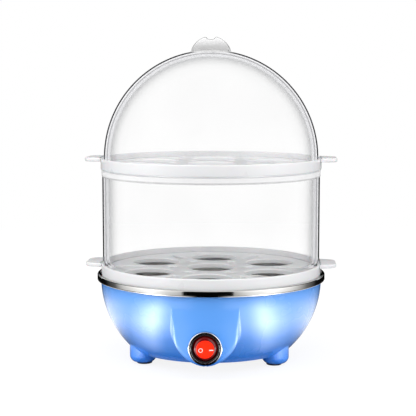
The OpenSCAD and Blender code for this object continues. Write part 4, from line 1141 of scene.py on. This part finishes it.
def drilled(shape, holes, r, low, high):
    """Points and faces of a closed shape with upright round holes drilled through it."""
    bits = [capped([[(x + u, y + v, z) for u, v in circle(r, 24)] for z in (low, high)]) for x, y in holes]
    solids = [loose_object("undrilled", shape), loose_object("drills", joined(*bits))]
    for solid in solids:
        studio.collection.objects.link(solid)
    cut = solids[0].modifiers.new("drill", "BOOLEAN")
    cut.operation, cut.solver, cut.object = "DIFFERENCE", "EXACT", solids[1]
    made = bpy.data.meshes.new_from_object(solids[0].evaluated_get(bpy.context.evaluated_depsgraph_get()))
    for solid in solids:
        bpy.data.objects.remove(solid)
    return [tuple(v.co / mm) for v in made.vertices], [tuple(face.vertices) for face in made.polygons]


def grip_top(x, lift=0.0):
    """Height of the grip's outline, or of a line inside it when lift is below 0."""
    arc = grip_z + sqrt(max((grip_r + lift) ** 2 - x * x, 0))
    if abs(x) >= notch_r - lift:
        return arc
    dip = crown_z + grip_rise + notch_lift - sqrt((notch_r - lift) ** 2 - x * x)
    ease = 0.55
    mix = max(0.0, min(1.0, 0.5 + 0.5 * (arc - dip) / ease))
    return arc * (1 - mix) + dip * mix - ease * mix * (1 - mix)


def grip_shell(half_wide, half_thick, lift, soft, sink):
    """Points and faces of a thin-walled grip skin: over its top, and down to the dome on all sides."""
    columns = 76
    places = [half_wide * sin(pi / 2 * (2 * i / columns - 1)) for i in range(columns + 1)]
    rows = []
    leans = [pi / 2 * k / 6 for k in range(7)]
    stations = [(-(half_thick - soft + soft * cos(a)), soft * (1 - sin(a))) for a in leans]
    stations += [(y, 0.0) for y in (-(half_thick - soft) / 2, 0.0, (half_thick - soft) / 2)]
    stations += [(-y, drop) for y, drop in reversed(stations[:7])]

    def dome_at(x, y):
        return dome_z + sqrt(dome_r ** 2 - x * x - y * y) - sink

    for y, drop in [(stations[0][0], None)] + stations + [(stations[-1][0], None)]:
        row = []
        for x in places:
            shift = x * (1 - (drop or 0.0) / grip_r)
            base = dome_at(shift, y)
            row.append((shift, y, base if drop is None else max(base, grip_top(x, lift) - drop)))
        rows.append(row)
    return rows_of(rows, closed=False)


grip_half = sqrt(grip_r ** 2 - (crown_z - 1.4 - grip_z) ** 2)
grip_outside = grip_shell(grip_half, grip_t / 2, 0.0, 1.3, 0.25)
grip_inside = grip_shell(grip_half - grip_wall, grip_t / 2 - dome_wall, -grip_wall, 0.8, 0.25)
dome = drilled(turned(dome_profile, 192), vents, vent_r, crown_z - 10, crown_z + 5)
# painted shade: grey faces on the dome, a grey base to the grip lightening to near white at its top, and a
# dark outline painted on the grip seen edge on
clear_lid = clear_styrene("clear_styrene_lid", [
    (0, 0, 0.6, 0.6), (crown_z - 2.2, 0, 0.6, 0.6), (crown_z - 1.0, 0.8, 0.6, 0.7),
    (crown_z - 0.1, 0.88, 0.55, 0.6), (crown_z + 0.5, 0.88, 0.55, 0.04),
    (crown_z + 2.5, 0.85, 0.6, 0.04), (crown_z + 6, 0.8, 0.85, 0.05),
    (crown_z + 8, 0.75, 0.95, 0.05)])
moulding("lid_moulding", joined(dome, grip_outside, grip_inside), clear_lid, "lid", "clear_plastic", "lid",
         turned_out=False)
